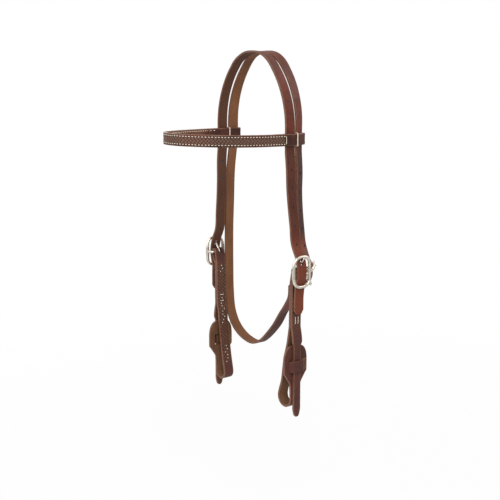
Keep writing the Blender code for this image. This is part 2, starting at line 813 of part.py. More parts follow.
def throat_strap_rows(last):
    """Off leg of the crown: under the throat, up the near side and folded round the throat buckle."""
    place = throat_place()
    chape = throat_chape_place()
    across = place.to_3x3() @ Vector((0.0, 1.0, 0.0))
    half = across * (STRAP_WIDTH / 2)
    route = tagged([last], -OFF_LEG_TURN)
    for point in from_shares(THROAT_STRAP_ROUTE_SHARES, 1):
        route.append(Vector((*point.xyz, -abs(point.w))))
    below = chape @ Vector((0.0, 0.0, -THROAT_CHAPE - TAIL_TIP))
    line = smooth_route(route + tagged([below], -THROAT_BUCKLE_TURN), ROUTE_STEPS)
    rows = leg_rows(line, -1, STRAP_WIDTH / 2)[:-1]
    folded = [below, chape.translation]
    for k in range(1, BEND_STEPS + 1):
        turn = math.radians(THROAT_BEND_TURN) * (1 - k / BEND_STEPS)
        out = -THROAT.chape_mid - THROAT_BEND_RADIUS * (1 - math.cos(turn))
        folded.append(place @ Vector((out, 0.0, -THROAT_BEND_RADIUS * math.sin(turn))))
    folded += [place @ p for p in chape_arc(THROAT, 180.0, 0.0, FOLD_STEPS)[1:]]
    pair = CROWN_LEATHER + CLEARANCE
    meet = chape @ Vector((pair, 0.0, 0.0))
    bar_front = folded[-1]
    for share, ease in FOLD_EASE_SHARES:
        step = bar_front.lerp(meet, share)
        folded.append(step + (place.to_3x3() @ Vector((THROAT.chape_mid * ease, 0.0, 0.0))))
    folded.append(meet)
    folded.append(chape @ Vector((pair, 0.0, -THROAT_CHAPE)))
    for centre in folded:
        rows.append((centre, rows[-1][1], across, [centre - half, centre + half]))
    return rows


def bit_points(shares, shift):
    return [Vector((out * BIT_DROP + shift, 0.0, up * BIT_DROP)) for out, up in shares]


def bit_profile(back_shares, loop_radius):
    """Centre line of the folded bit strap: tab, front layer, bar, back layer and loop."""
    pair = BIT_LEATHER + PAIR_GAP
    front = [Vector((TAB_OUT, 0.0, -TAB_DROP)), Vector((TAB_OUT, 0.0, -TAB_DROP + TAB_TAPER / 2))]
    front.append(Vector((TAB_OUT, 0.0, -TAB_DROP + TAB_TAPER)))
    down = TAB_DROP - TAB_TAPER
    bottom = BAND_TOP - BAND_HEIGHT / 2
    for k in range(STRAP_ROWS):
        front.append(Vector((TAB_OUT, 0.0, -down + (down - bottom) * (k + 1) / STRAP_ROWS)))
    front += smooth_route(bit_points(reversed(FRONT_SHARES), 0.0), BIT_ROUTE_STEPS)
    front += bit_points(reversed(PAIR_LEAN_SHARES), pair)
    front += bit_points(reversed(STEP_SHARES), 0.0)
    around = chape_arc(CHEEK, 0.0, 180.0, CHEEK_FOLD_STEPS)
    back = bit_points(PAIR_BACK_SHARES + PAIR_LEAN_SHARES + back_shares, 0.0)
    loop = []
    centre_out = TAB_OUT - pair - loop_radius
    steps = int(180.0 / LOOP_TURN)
    for k in range(-1, steps + 1):
        turn = math.radians(180.0 + LOOP_TURN * k)
        up = -LOOP_DROP + loop_radius * math.sin(turn)
        loop.append(Vector((centre_out + loop_radius * math.cos(turn), 0.0, up)))
    descent = smooth_route([around[-1]] + back + [loop[0]], BIT_ROUTE_STEPS)[1:-1]
    return front, around, descent, loop


def bit_half_width(up, front):
    """Half width of the strap: full strap, waisted neck and pointed tab."""
    if front and up < -SHOULDER_SHARE * BIT_DROP:
        neck = min((-up / BIT_DROP - SHOULDER_SHARE) / (NECK_SHARE - SHOULDER_SHARE), 1.0)
        half = STRAP_WIDTH / 2 + (TAB_WIDTH - STRAP_WIDTH) / 2 * neck
        tip = (TAB_DROP + up) / TAB_TAPER
        if tip < 1.0:
            half = TAB_TIP_WIDTH / 2 + (half - TAB_TIP_WIDTH / 2) * math.sqrt(max(tip, 0.0))
        return half
    return STRAP_WIDTH / 2


def paddle_rows():
    """Rows up the paddle: height below the bar, half width and whether the row is on the band."""
    rows = []
    widest = BAND_TOP + BAND_HEIGHT / 2
    for share, wide in reversed(TAPER_SHARES):
        low = widest + BAND_HEIGHT / 2 + SLIT_HEIGHT * 2
        rows.append((low + (PADDLE_FOOT - low) * share, PADDLE_WIDTH / 2 * wide, False))
    band_low = BAND_TOP + BAND_HEIGHT
    rows.append((band_low + SLIT_HEIGHT, PADDLE_WIDTH / 2, False))
    rows.append((band_low, PADDLE_WIDTH / 2, True))
    rows.append((BAND_TOP, PADDLE_WIDTH / 2, True))
    rows.append((BAND_TOP - SLIT_HEIGHT, PADDLE_WIDTH / 2, False))
    lip = BAND_TOP - SLIT_HEIGHT - PADDLE_TOP
    for share, wide in reversed(LIP_SHARES):
        rows.append((PADDLE_TOP + lip * share, PADDLE_WIDTH / 2 * wide, False))
    return rows


def build_bit_end(name, side, back_shares, loop_radius):
    """One strap folded round the buckle bar, its end turned up as a paddle whose band holds the tab."""
    bm = bmesh.new()
    front, around, descent, loop = bit_profile(back_shares, loop_radius)
    before = None
    for group, is_front in ((front, True), (around, False), (descent, False), (loop, False)):
        for p in group:
            half = bit_half_width(p.z, is_front)
            row = add_row(bm, [p + Vector((0.0, -half, 0.0)), p + Vector((0.0, half, 0.0))])
            if before:
                join_rows(bm, before, row)
            before = row
    out = TAB_OUT - BIT_LEATHER - PAIR_GAP
    bulge = 2 * (BIT_LEATHER + PAIR_GAP)
    was_on_band = False
    for drop, half, on_band in paddle_rows():
        slit = min(SLIT_WIDTH / 2, half * SLIT_WIDTH / PADDLE_WIDTH)
        flat = slit * BAND_FLAT_WIDTH / SLIT_WIDTH
        lift = bulge if on_band else 0.0
        across = (-half, -slit, -flat, flat, slit, half)
        outs = (out, out, out + lift, out + lift, out, out)
        row = add_row(bm, [Vector((n, w, -drop)) for n, w in zip(outs, across)])
        if on_band != was_on_band:
            bm.faces.new((before[0], before[1], row[1], row[0]))
            bm.faces.new((before[4], before[5], row[5], row[4]))
        else:
            join_rows(bm, before, row)
        before = row
        was_on_band = on_band
    made = make_object(name, bm, LEATHER, 0.5, 0.0, cheek_place(side))
    thicken(made, BIT_LEATHER)
    punches = bmesh.new()
    punch_slot(punches, CHEEK, Matrix.Identity(4))
    for drop in (BIT_TACK_TOP, BIT_TACK_TOP + BIT_TACK_HEIGHT):
        for across in (-TACK_WIDTH / 2, TACK_WIDTH / 2):
            centre = Vector((out, across, -drop))
            depth = BIT_LEATHER * 4
            outward = Vector((1.0, 0.0, 0.0))
            up = Vector((0.0, 0.0, 1.0))
            add_punch(punches, centre, outward, up, THREAD_HOLE, THREAD_HOLE, depth, HOLE_SIDES)
    cut(made, punches)


def layer_at(points, height):
    for a, b in zip(points, points[1:]):
        low, high = sorted((a.z, b.z))
        if low <= height <= high and high > low:
            share = (height - a.z) / (b.z - a.z)
            return a.x + (b.x - a.x) * share
    return points[0].x


def build_bit_tack(name, side, back_shares, loop_radius):
    front, _, descent, _ = bit_profile(back_shares, loop_radius)
    over = BIT_LEATHER / 2 + CLEARANCE + THREAD / 2
    top = -BIT_TACK_TOP
    bottom = -BIT_TACK_TOP - BIT_TACK_HEIGHT
    corners = (
        top,
        bottom,
        layer_at(front[2:], top) + over,
        layer_at(front[2:], bottom) + over,
        layer_at(descent, top) - over,
        layer_at(descent, bottom) - over,
    )
    bm = bmesh.new()
    add_thread(bm, tack_points(corners))
    make_object(name, bm, THREAD_COLOUR, 0.8, 0.0, cheek_place(side), True)


def build_throat_tack():
    over = CROWN_LEATHER / 2 + CLEARANCE + THREAD / 2
    front = CROWN_LEATHER + CLEARANCE
    top = -THROAT_TACK_TOP
    corners = (top, top - THROAT_TACK_HEIGHT, front + over, front + over, -over, -over)
    bm = bmesh.new()
    add_thread(bm, tack_points(corners))
    make_object("throat_chape_thread", bm, THREAD_COLOUR, 0.8, 0.0, throat_chape_place(), True)


# Browband in plan: half an ellipse across the brow with a loop at each end
BROW_OUT = CHEEK_LEG_OUT + CROWN_LEATHER / 2 + SLIDE_PLAY + BROW_LEATHER / 2
TAIL_INSET = BROW_LEATHER + 2 * CLEARANCE + LINING_LEATHER
LOOP_IN = CHEEK_LEG_OUT - CROWN_LEATHER / 2 - SLIDE_PLAY - BROW_LEATHER / 2
CHEEK_LEG_FRONT = SLIT_END / 2 + STRAP_WIDTH
BROW_EASE = BROW_LEATHER / 2 + SLIDE_PLAY


def ellipse_point(turn, inset):
    """Plan point on the brow curve, turn 0 at the near side and pi at the off side."""
    x = BROW_OUT * math.cos(turn)
    y = -BROW_CENTRE_FORWARD - BROW_LENGTH_RADIUS * math.sin(turn)
    out = Vector((math.cos(turn) / BROW_OUT, -math.sin(turn) / BROW_LENGTH_RADIUS)).normalized()
    return Vector((x, y)) - out * inset


def ellipse_turn(forward):
    return math.asin((forward - BROW_CENTRE_FORWARD) / BROW_LENGTH_RADIUS)


def brow_height(p):
    share = max(0.0, (-p.y - BROW_CENTRE_FORWARD) / BROW_LENGTH_RADIUS)
    return BROW_RISE * share * share


def loop_plan(turn_degrees):
    """Plan line of a loop from its inside tail, round both legs, to the start of the brow curve."""
    turn = math.radians(turn_degrees)
    across = Vector((-math.sin(turn), math.cos(turn)))
    out = Vector((math.cos(turn), math.sin(turn)))
    inward = STRAP_WIDTH / 2 * math.sin(turn) + CROWN_LEATHER / 2 * (math.cos(turn) - 1)
    back = SLIT_END / 2 + STRAP_WIDTH / 2 * math.cos(turn) + CROWN_LEATHER / 2 * math.sin(turn)
    leg = Vector((CHEEK_LEG_OUT - inward, back))
    half = CROWN_LEATHER / 2
    rear_out = leg + out * half + across * (STRAP_WIDTH / 2)
    rear_in = leg - out * half + across * (STRAP_WIDTH / 2)
    in_line = rear_in - out * BROW_EASE
    inner_kink = in_line - across * ((in_line.x - LOOP_IN) / across.x)
    out_line = rear_out + out * BROW_EASE
    outer_kink = out_line - across * ((out_line.x - BROW_OUT) / across.x)
    tail_middle = LOOP_TAIL_END * LOOP_TAIL_SHARE
    points = []
    for forward in (LOOP_TAIL_END, tail_middle, BROW_TACK_FORWARD, BROW_TACK_FORWARD - LOOP_TAIL_STEP):
        points.append(ellipse_point(ellipse_turn(forward), TAIL_INSET))
    points.append(Vector((LOOP_IN, -CHEEK_LEG_FRONT - SLIDE_PLAY)))
    points.append(inner_kink)
    for k in range(CORNER_STEPS + 1):
        angle = math.pi + turn - math.pi / 2 * k / CORNER_STEPS
        points.append(rear_in + Vector((math.cos(angle), math.sin(angle))) * BROW_EASE)
    for k in range(CORNER_STEPS + 1):
        angle = math.pi / 2 + turn - math.pi / 2 * k / CORNER_STEPS
        points.append(rear_out + Vector((math.cos(angle), math.sin(angle))) * BROW_EASE)
    points.append(outer_kink)
    return points


def brow_rows(plan, bm):
    before = None
    half = BROW_HEIGHT / 2
    for p in plan:
        z = brow_height(p)
        row = add_row(bm, [Vector((p.x, p.y, z - half)), Vector((p.x, p.y, z + half))])
        if before:
            join_rows(bm, before, row)
        before = row


def build_browband():
    place = Matrix.Translation(Vector((0.0, 0.0, -BROW_DROP)))
    near = loop_plan(NEAR_LEG_TURN)
    off = [Vector((-p.x, p.y)) for p in reversed(loop_plan(OFF_LEG_TURN))]
    middle = [ellipse_point(math.pi * k / BROW_STEPS, 0.0) for k in range(BROW_STEPS + 1)]
    bm = bmesh.new()
    brow_rows(near + middle + off, bm)
    made = make_object("browband", bm, LEATHER, 0.5, 0.0, place)
    thicken(made, BROW_LEATHER)
    tack_holes = bmesh.new()
    add_brow_punches(tack_holes)
    cut(made, tack_holes)
    bm = bmesh.new()
    start = ellipse_turn(CHEEK_LEG_FRONT + CLEARANCE * 2)
    inset = (BROW_LEATHER + LINING_LEATHER) / 2 + CLEARANCE
    step = (math.pi - 2 * start) / BROW_STEPS
    plan = [ellipse_point(start + step * k, inset) for k in range(BROW_STEPS + 1)]
    brow_rows(plan, bm)
    lining = make_object("browband_lining", bm, LINING, 0.7, 0.0, place)
    thicken(lining, LINING_LEATHER)
    tack_holes = bmesh.new()
    add_brow_punches(tack_holes)
    cut(lining, tack_holes)


def tack_frame(side):
    turn = ellipse_turn(BROW_TACK_FORWARD)
    p = ellipse_point(turn, 0.0)
    out = Vector((math.cos(turn) / BROW_OUT, -math.sin(turn) / BROW_LENGTH_RADIUS, 0.0)).normalized()
    return Vector((side * p.x, p.y, brow_height(p))), Vector((side * out.x, out.y, 0.0))


def add_brow_punches(bm):
    for side in (1, -1):
        centre, out = tack_frame(side)
        for up in (-BROW_TACK_HEIGHT / 2, BROW_TACK_HEIGHT / 2):
            middle = centre - out * (TAIL_INSET / 2) + Vector((0.0, 0.0, up))
            depth = TAIL_INSET * 3
            add_punch(bm, middle, out, Vector((0.0, 0.0, 1.0)), THREAD_HOLE, THREAD_HOLE, depth, HOLE_SIDES)


def build_loop_thread(name, side):
    centre, out = tack_frame(side)
    over = BROW_LEATHER / 2 + CLEARANCE + THREAD / 2
    up = Vector((0.0, 0.0, BROW_TACK_HEIGHT / 2))
    outer = centre + out * over
    inner = centre - out * (TAIL_INSET + over)
    bm = bmesh.new()
    add_thread(bm, [outer + up, outer - up, inner - up, inner + up])
    place = Matrix.Translation(Vector((0.0, 0.0, -BROW_DROP)))
    make_object(name, bm, THREAD_COLOUR, 0.8, 0.0, place, True)


def build_tie(name, side):
    """A flat tie round both layers of the loop, parting the cheek leg from the throat leg."""
    ease = CLEARANCE + TIE_THICK / 2
    out = BROW_OUT + BROW_LEATHER / 2 + ease
    inner = LOOP_IN - BROW_LEATHER / 2 - ease
    high = BROW_HEIGHT / 2 + ease
    corners = [(out, -high), (out, high), (inner, high), (inner, -high)]
    bm = bmesh.new()
    half = TIE_WIDTH / 2
    rows = [add_row(bm, [Vector((side * x, -half, z)), Vector((side * x, half, z))]) for x, z in corners]
    for first, second in zip(rows, rows[1:] + rows[:1]):
        join_rows(bm, first, second)
    place = Matrix.Translation(Vector((0.0, 0.0, -BROW_DROP)))
    made = make_object(name, bm, THREAD_COLOUR, 0.6, 0.0, place)
    solid = made.modifiers.new("tie", "SOLIDIFY")
    solid.thickness = TIE_THICK
    solid.offset = 0.0
    solid.use_even_offset = True


build_crown()
build_buckle("near_cheek_buckle", CHEEK, cheek_place(1))
build_buckle("off_cheek_buckle", CHEEK, cheek_place(-1))
build_buckle("throat_buckle", THROAT, throat_place())
build_tongue("near_cheek_tongue", CHEEK, cheek_place(1))
build_tongue("off_cheek_tongue", CHEEK, cheek_place(-1))
build_tongue("throat_tongue", THROAT, throat_place())
build_bit_end("near_bit_end", 1, NEAR_BACK_SHARES, NEAR_LOOP_RADIUS)
build_bit_end("off_bit_end", -1, OFF_BACK_SHARES, OFF_LOOP_RADIUS)
build_bit_tack("near_bit_thread", 1, NEAR_BACK_SHARES, NEAR_LOOP_RADIUS)
build_bit_tack("off_bit_thread", -1, OFF_BACK_SHARES, OFF_LOOP_RADIUS)
build_throat_tack()
build_browband()
build_loop_thread("near_loop_thread", 1)
build_loop_thread("off_loop_thread", -1)
build_tie("near_loop_tie", 1)
build_tie("off_loop_tie", -1)
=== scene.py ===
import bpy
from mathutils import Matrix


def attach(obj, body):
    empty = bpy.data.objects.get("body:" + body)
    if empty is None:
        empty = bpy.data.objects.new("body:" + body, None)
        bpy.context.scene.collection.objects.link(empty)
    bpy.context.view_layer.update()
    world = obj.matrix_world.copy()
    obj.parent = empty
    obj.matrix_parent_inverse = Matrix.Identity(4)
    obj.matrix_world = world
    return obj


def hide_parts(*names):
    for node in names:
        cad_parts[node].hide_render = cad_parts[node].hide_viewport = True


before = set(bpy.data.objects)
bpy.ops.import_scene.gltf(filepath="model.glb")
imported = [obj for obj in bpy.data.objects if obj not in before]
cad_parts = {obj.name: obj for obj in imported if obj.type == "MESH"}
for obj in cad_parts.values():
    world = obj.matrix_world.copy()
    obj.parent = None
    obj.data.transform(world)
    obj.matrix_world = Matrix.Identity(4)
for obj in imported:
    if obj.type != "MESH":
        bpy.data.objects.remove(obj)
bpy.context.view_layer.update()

import math

import bmesh
import bpy
from mathutils import Matrix, Vector

print("frame loaded")

# Sizes that several pieces share, in metres and degrees
leather = {"strap": 0.016, "crown": 0.0030, "bit": 0.0032, "brow": 0.0030, "lining": 0.0016}
fit = {"gap": 0.0003, "play": 0.0005, "spacing": 0.0018}
edge = {  # rubbed and burnished strap edges
    "round": 0.0009,
    "browRound": 0.0007,
    "liningRound": 0.0005,
    "tieRound": 0.00025,
    "steps": 3,
    "angle": 50.0,
    "weld": fit["gap"] / 30,  # corners nearer than this become one
}
holes = {
    "wide": 0.0023,
    "throatWide": 0.0034,
    "long": 0.0047,
    "tongue": 0.0042,
    "slot": 0.0054,  # room across the fold for the tongue's loop
    "thread": 0.0013,
    "sides": 12,
    "slotSides": 20,
    "threadSides": 8,
}
smoothing = {"leather": 42.0, "frame": 45.0, "wire": 50.0, "thread": 80.0}  # steeper edges stay sharp
faceWeight = 60  # how much large faces lead the shading
xWay, yWay, zWay = [Vector(way) for way in ((1.0, 0.0, 0.0), (0.0, 1.0, 0.0), (0.0, 0.0, 1.0))]


def smoothRoute(points, spacing):
    route = []
    last = len(points) - 1
    reach = [(points[i + 1] - points[i]).xyz.length for i in range(last)]
    slope = []
    for i in range(last + 1):
        if i == 0:
            slope.append((points[1] - points[0]) / reach[0])
        elif i == last:
            slope.append((points[last] - points[last - 1]) / reach[last - 1])
        else:
            ahead = (points[i + 1] - points[i]) / reach[i]
            behind = (points[i] - points[i - 1]) / reach[i - 1]
            slope.append((behind * reach[i] + ahead * reach[i - 1]) / (reach[i] + reach[i - 1]))
    for i in range(last):
        steps = max(1, round(reach[i] / spacing))
        for j in range(steps):
            u = j / steps
            blend = u * u * (3 - 2 * u)
            bend = slope[i] * (u * (1 - u) ** 2 * reach[i]) + slope[i + 1] * (u * u * (u - 1) * reach[i])
            route.append(points[i] * (1 - blend) + points[i + 1] * blend + bend)
    route.append(points[last])
    return route


def tangents(centres):
    last = len(centres) - 1
    return [(centres[min(i + 1, last)] - centres[max(i - 1, 0)]).normalized() for i in range(last + 1)]


def eased(u):
    u = min(max(u, 0.0), 1.0)
    return u * u * (3 - 2 * u)


def upright(out, up):
    return Vector((out, 0.0, up))


def sheetMesh(name, patches):
    verts = []
    faces = []
    places = []
    for patch in patches:
        rows = patch["rows"]
        start = len(verts)
        along = 0.0
        before = None
        for row in rows:
            middle = (row[0] + row[-1]) / 2
            along += (middle - before).length if before else patch.get("from", 0.0)
            before = middle
            wide = (row[-1] - row[0]).length
            across = -wide / 2
            for k, p in enumerate(row):
                across += (p - row[k - 1]).length if k else 0.0
                verts.append(p)
                places.append((along, across, wide / 2 - abs(across)))
        count = len(rows[0])
        for i in range(len(rows) - 1):
            for k in range(count - 1):
                if patch.get("open") and patch["open"](i, k):
                    continue
                a = start + i * count + k
                faces.append((a, a + 1, a + 1 + count, a + count))
    mesh = bpy.data.meshes.new(name)
    mesh.from_pydata([tuple(v) for v in verts], [], faces)
    laid = mesh.uv_layers.new(name="laid")
    inward = mesh.uv_layers.new(name="inward")
    for loop in mesh.loops:
        along, across, fromEdge = places[loop.vertex_index]
        laid.data[loop.index].uv = (along, across)
        inward.data[loop.index].uv = (fromEdge, along)
    bm = bmesh.new()
    bm.from_mesh(mesh)
    bmesh.ops.remove_doubles(bm, verts=bm.verts, dist=edge["weld"])
    bmesh.ops.recalc_face_normals(bm, faces=bm.faces)
    return mesh, bm


def linked(name, data, place=None):
    made = bpy.data.objects.new(name, data)
    if place is not None:
        made.matrix_world = place
    bpy.context.scene.collection.objects.link(made)
    return made


def modified(piece, name, kind, **settings):
    made = piece.modifiers.new(name, kind)
    for key, value in settings.items():
        setattr(made, key, value)
    return made


def baked(source, name):
    bpy.context.view_layer.update()
    graph = bpy.context.evaluated_depsgraph_get()
    mesh = bpy.data.meshes.new_from_object(source.evaluated_get(graph), depsgraph=graph)
    mesh.name = name
    return mesh


def settle(source, name, sharpFrom, weighted=False):
    mesh = baked(source, name)
    mesh.transform(source.matrix_world)
    bpy.data.objects.remove(source)
    mesh.shade_smooth()
    mesh.set_sharp_from_angle(angle=math.radians(sharpFrom))
    made = linked(name, mesh)
    if weighted:
        modified(made, "shading", "WEIGHTED_NORMAL", keep_sharp=True, weight=faceWeight)
        done = baked(made, name)
        made.modifiers.clear()
        made.data = done
    return made


def plainObject(name, bm, place):
    bmesh.ops.recalc_face_normals(bm, faces=bm.faces)
    mesh = bpy.data.meshes.new(name)
    bm.to_mesh(mesh)
    bm.free()
    return linked(name, mesh, place)


def leatherPiece(
    name, patches, thickness, materials, place, grainAt, grainWay, punches=None, rounding=edge["round"]
):
    mesh, bm = sheetMesh(name, patches)
    known = min(bm.faces, key=lambda f: (f.calc_center_median() - grainAt).length)
    if known.normal.dot(grainWay) < 0:  # the grain side faces out
        bmesh.ops.reverse_faces(bm, faces=bm.faces)
    bm.to_mesh(mesh)
    bm.free()
    sheet = linked(name + "_sheet", mesh, place)
    for material in materials:  # grain, flesh, rim and hole walls
        mesh.materials.append(material)
    solid = modified(sheet, "leather", "SOLIDIFY", thickness=thickness, offset=0.0, use_even_offset=True)
    solid.material_offset = 1
    solid.material_offset_rim = 2
    soft = modified(sheet, "edges", "BEVEL", width=rounding, segments=edge["steps"], limit_method="ANGLE")
    soft.angle_limit = math.radians(edge["angle"])
    soft.harden_normals = False
    cutter = None
    if punches:
        cutter = plainObject(name + "_punch", punches, place)
        for face in cutter.data.polygons:
            face.material_index = 3
        modified(sheet, "punched", "BOOLEAN", operation="DIFFERENCE", solver="EXACT", object=cutter)
    made = settle(sheet, name, smoothing["leather"], True)
    if cutter:
        bpy.data.objects.remove(cutter)
    return made


def addPunch(bm, centre, through, along, length, width, depth, sides=holes["sides"]):
    across = through.cross(along).normalized()
    straight = max(length - width, 0.0) / 2
    radius = width / 2
    ring = []
    for way in (1, -1):
        for k in range(sides + 1):
            turn = math.pi * k / sides
            if way > 0 or straight > 0 or 0 < k < sides:
                point = along * (straight + radius * math.sin(turn)) + across * (radius * math.cos(turn))
                ring.append(point * way)
    ends = [[bm.verts.new(centre + p + through * (side * depth / 2)) for p in ring] for side in (-1, 1)]
    bm.faces.new(ends[0])
    bm.faces.new(ends[1])
    for k in range(len(ring)):
        m = (k + 1) % len(ring)
        bm.faces.new((ends[0][k], ends[0][m], ends[1][m], ends[1][k]))


def addTube(bm, points, radii, sides, closed, spread):
    rings = []
    count = len(points)
    for i in range(count):
        if closed:
            along = (points[(i + 1) % count] - points[i - 1]).normalized()
        else:
            along = (points[min(i + 1, count - 1)] - points[max(i - 1, 0)]).normalized()
        first = spread.cross(along).normalized()
        second = along.cross(first).normalized()
        radius = radii[i] if isinstance(radii, list) else radii
        ring = []
        for k in range(sides):
            turn = math.tau * k / sides
            ring.append(bm.verts.new(points[i] + (first * math.cos(turn) + second * math.sin(turn)) * radius))
        rings.append(ring)
    for i in range(count if closed else count - 1):
        here = rings[i]
        there = rings[(i + 1) % count]
        for k in range(sides):
            m = (k + 1) % sides
            bm.faces.new((here[k], here[m], there[m], there[k]))
    if not closed:
        bm.faces.new(rings[0])
        bm.faces.new(rings[-1])


# Buckles
cheekBuckle = {
    "bar": (0.0910, -0.0065, -0.2915),
    "width": 0.0340,
    "height": 0.0455,
    "wire": 0.0042,
    "tongue": 0.0026,
    "hole": 0.0076,
    "corner": 3.0,  # 2 is an oval, more is squarer
    "heavy": 0.25,  # how far the sides thicken inward
    "loose": 0.0,  # play of the tongue's loop on the bar
    "flat": 0.86,  # share of the dish that the sides keep, 1 is a flat frame
    "dropped": 0.0092,  # half of the bar's low stretch
}
throatBuckle = {
    "bar": (0.0720, 0.0260, -0.3005),
    "width": 0.0262,
    "height": 0.0330,
    "wire": 0.0036,
    "tongue": 0.0022,
    "hole": 0.0066,
    "corner": 4.5,
    "heavy": 0.15,
    "loose": 0.0004,
    "flat": 0.0,
    "dropped": 0.0092,
    "turns": (51.0, 8.0, 14.0),
    "bendRadius": 0.0180,
    "bendTurn": 35.0,
    "chape": 0.0170,
}
billet = {
    "dip": 0.0029,  # how far out of the bar's plane it lies at the frame's ends
    "slope": 24.0,
    "tip": 0.0060,
    "tipWidth": 0.0080,
    "tipRows": 6,
    "slopeShare": 1 / 12,  # stretch over which the slope at the tongue is taken
    "spacing": 0.0254,
    "holes": 5,
    "cheekFirst": 0.0357,  # first hole above the bar
    "throatFirst": 0.0379,
    "steps": {"over": 24, "fall": 8, "tail": 6, "tip": 4},
}
frameShape = {
    "corners": 112,
    "sides": 20,
    "barSteps": 40,
    "barTwist": 0.13,  # keeps the bar's corners off those of the frame
    "risen": 0.8,  # share of the half height at which the frame is fully out
    "softly": 0.35,  # share of the rise that eases in and out
    "thickTo": 2.4,  # wire radii from the outer side that the heavy sides draw in
    "sideSpan": 1.15,  # how fast the heavy sides fade towards the ends
    "sideFrom": 0.1,
}
tongueShape = {
    "tip": 0.0024,
    "narrowShares": ((1.0, 0.35), (0.9, 0.72), (0.7, 0.92), (0.4, 1.0)),
    "around": 290.0,  # degrees round the bar
    "straightSteps": 10,
    "loopSteps": 40,
    "sides": 16,
}
halvings = 40


def cheekPlace(side):
    out, along, up = cheekBuckle["bar"]
    turned = Matrix.Rotation(0.0 if side > 0 else math.pi, 4, "Z")
    return Matrix.Translation(Vector((side * out, along, up))) @ turned


def throatPlace():
    turn, lean, roll = [math.radians(a) for a in throatBuckle["turns"]]
    turned = Matrix.Rotation(turn, 4, "Z") @ Matrix.Rotation(lean, 4, "Y") @ Matrix.Rotation(roll, 4, "X")
    return Matrix.Translation(Vector(throatBuckle["bar"])) @ turned


def buckleSizes(given, chapeLeather):
    made = dict(given)
    made["r"] = given["wire"] / 2
    made["halfWidth"] = (given["width"] - given["wire"]) / 2
    made["halfHeight"] = (given["height"] - given["wire"]) / 2
    made["tongueR"] = given["tongue"] / 2
    made["chapeMid"] = made["r"] + fit["gap"] + chapeLeather / 2
    made["chapeOuter"] = made["r"] + fit["gap"] + chapeLeather
    made["over"] = made["chapeOuter"] + fit["gap"] + leather["crown"] / 2
    lift = leather["crown"] / 2 + fit["gap"] + made["r"]
    made["dish"] = billet["dip"] + lift / math.cos(math.radians(billet["slope"])) + fit["gap"] * 2
    made["ring"] = made["r"] + fit["gap"] + made["tongueR"] + given["loose"]
    return made


cheek = buckleSizes(cheekBuckle, leather["bit"])
throat = buckleSizes(throatBuckle, leather["crown"])


def billetOut(buckle, up):
    rise = buckle["over"] - billet["dip"]
    return billet["dip"] + rise * math.cos(math.pi / 2 * up / buckle["halfHeight"])


def tongueLean(buckle):
    reach = math.hypot(buckle["dish"], buckle["halfHeight"])
    return math.atan2(buckle["dish"], buckle["halfHeight"]) + math.asin(2 * buckle["ring"] / reach)


def tongueHoleUp(buckle):
    lean = tongueLean(buckle)
    low = 0.0
    high = buckle["halfHeight"]
    for _ in range(halvings):
        up = (low + high) / 2
        if buckle["dish"] / 2 + (up - buckle["halfHeight"] / 2) * math.tan(lean) < billetOut(buckle, up):
            low = up
        else:
            high = up
    return low


def buckleFrame(name, buckle, place, material):
    shape = frameShape
    bm = bmesh.new()
    points = []
    for k in range(shape["corners"]):
        turn = math.tau * k / shape["corners"]
        c, s = math.cos(turn), math.sin(turn)
        size = (abs(c) ** buckle["corner"] + abs(s) ** buckle["corner"]) ** (-1 / buckle["corner"])
        up = buckle["halfHeight"] * s * size
        share = min(abs(up) / (buckle["halfHeight"] * shape["risen"]), 1.0)
        curve = eased(share) * shape["softly"] + share**2 * (1 - shape["softly"])
        rise = buckle["flat"] + (1 - buckle["flat"]) * curve
        points.append(Vector((buckle["dish"] * rise, buckle["halfWidth"] * c * size, up)))
    addTube(bm, points, buckle["r"], shape["sides"], True, xWay)
    for v in bm.verts:  # the sides are heavier than the ends
        inward = buckle["halfWidth"] + buckle["r"] - abs(v.co.y)
        if inward < buckle["r"] * shape["thickTo"]:
            side = 1 - eased(abs(v.co.z) / buckle["halfHeight"] * shape["sideSpan"] - shape["sideFrom"])
            v.co.y -= math.copysign(inward * buckle["heavy"] * side, v.co.y)
    frameRing = plainObject(name + "_ring", bm, place)
    bm = bmesh.new()
    line = []
    for k in range(shape["barSteps"] + 1):  # the middle bar drops below the frame between its ends
        across = buckle["halfWidth"] * (2 * k / shape["barSteps"] - 1)
        lift = eased((abs(across) - buckle["dropped"]) / (buckle["halfWidth"] - buckle["dropped"]))
        line.append(Vector((buckle["dish"] * buckle["flat"] * lift, across, 0.0)))
    addTube(bm, line, buckle["r"], shape["sides"], False, Vector((1.0, 0.0, shape["barTwist"])))
    bar = plainObject(name + "_bar", bm, place)
    modified(frameRing, "centre_bar", "BOOLEAN", operation="UNION", solver="EXACT", object=bar)
    made = settle(frameRing, name, smoothing["frame"])
    bpy.data.objects.remove(bar)
    made.data.materials.clear()
    made.data.materials.append(material)
    return made


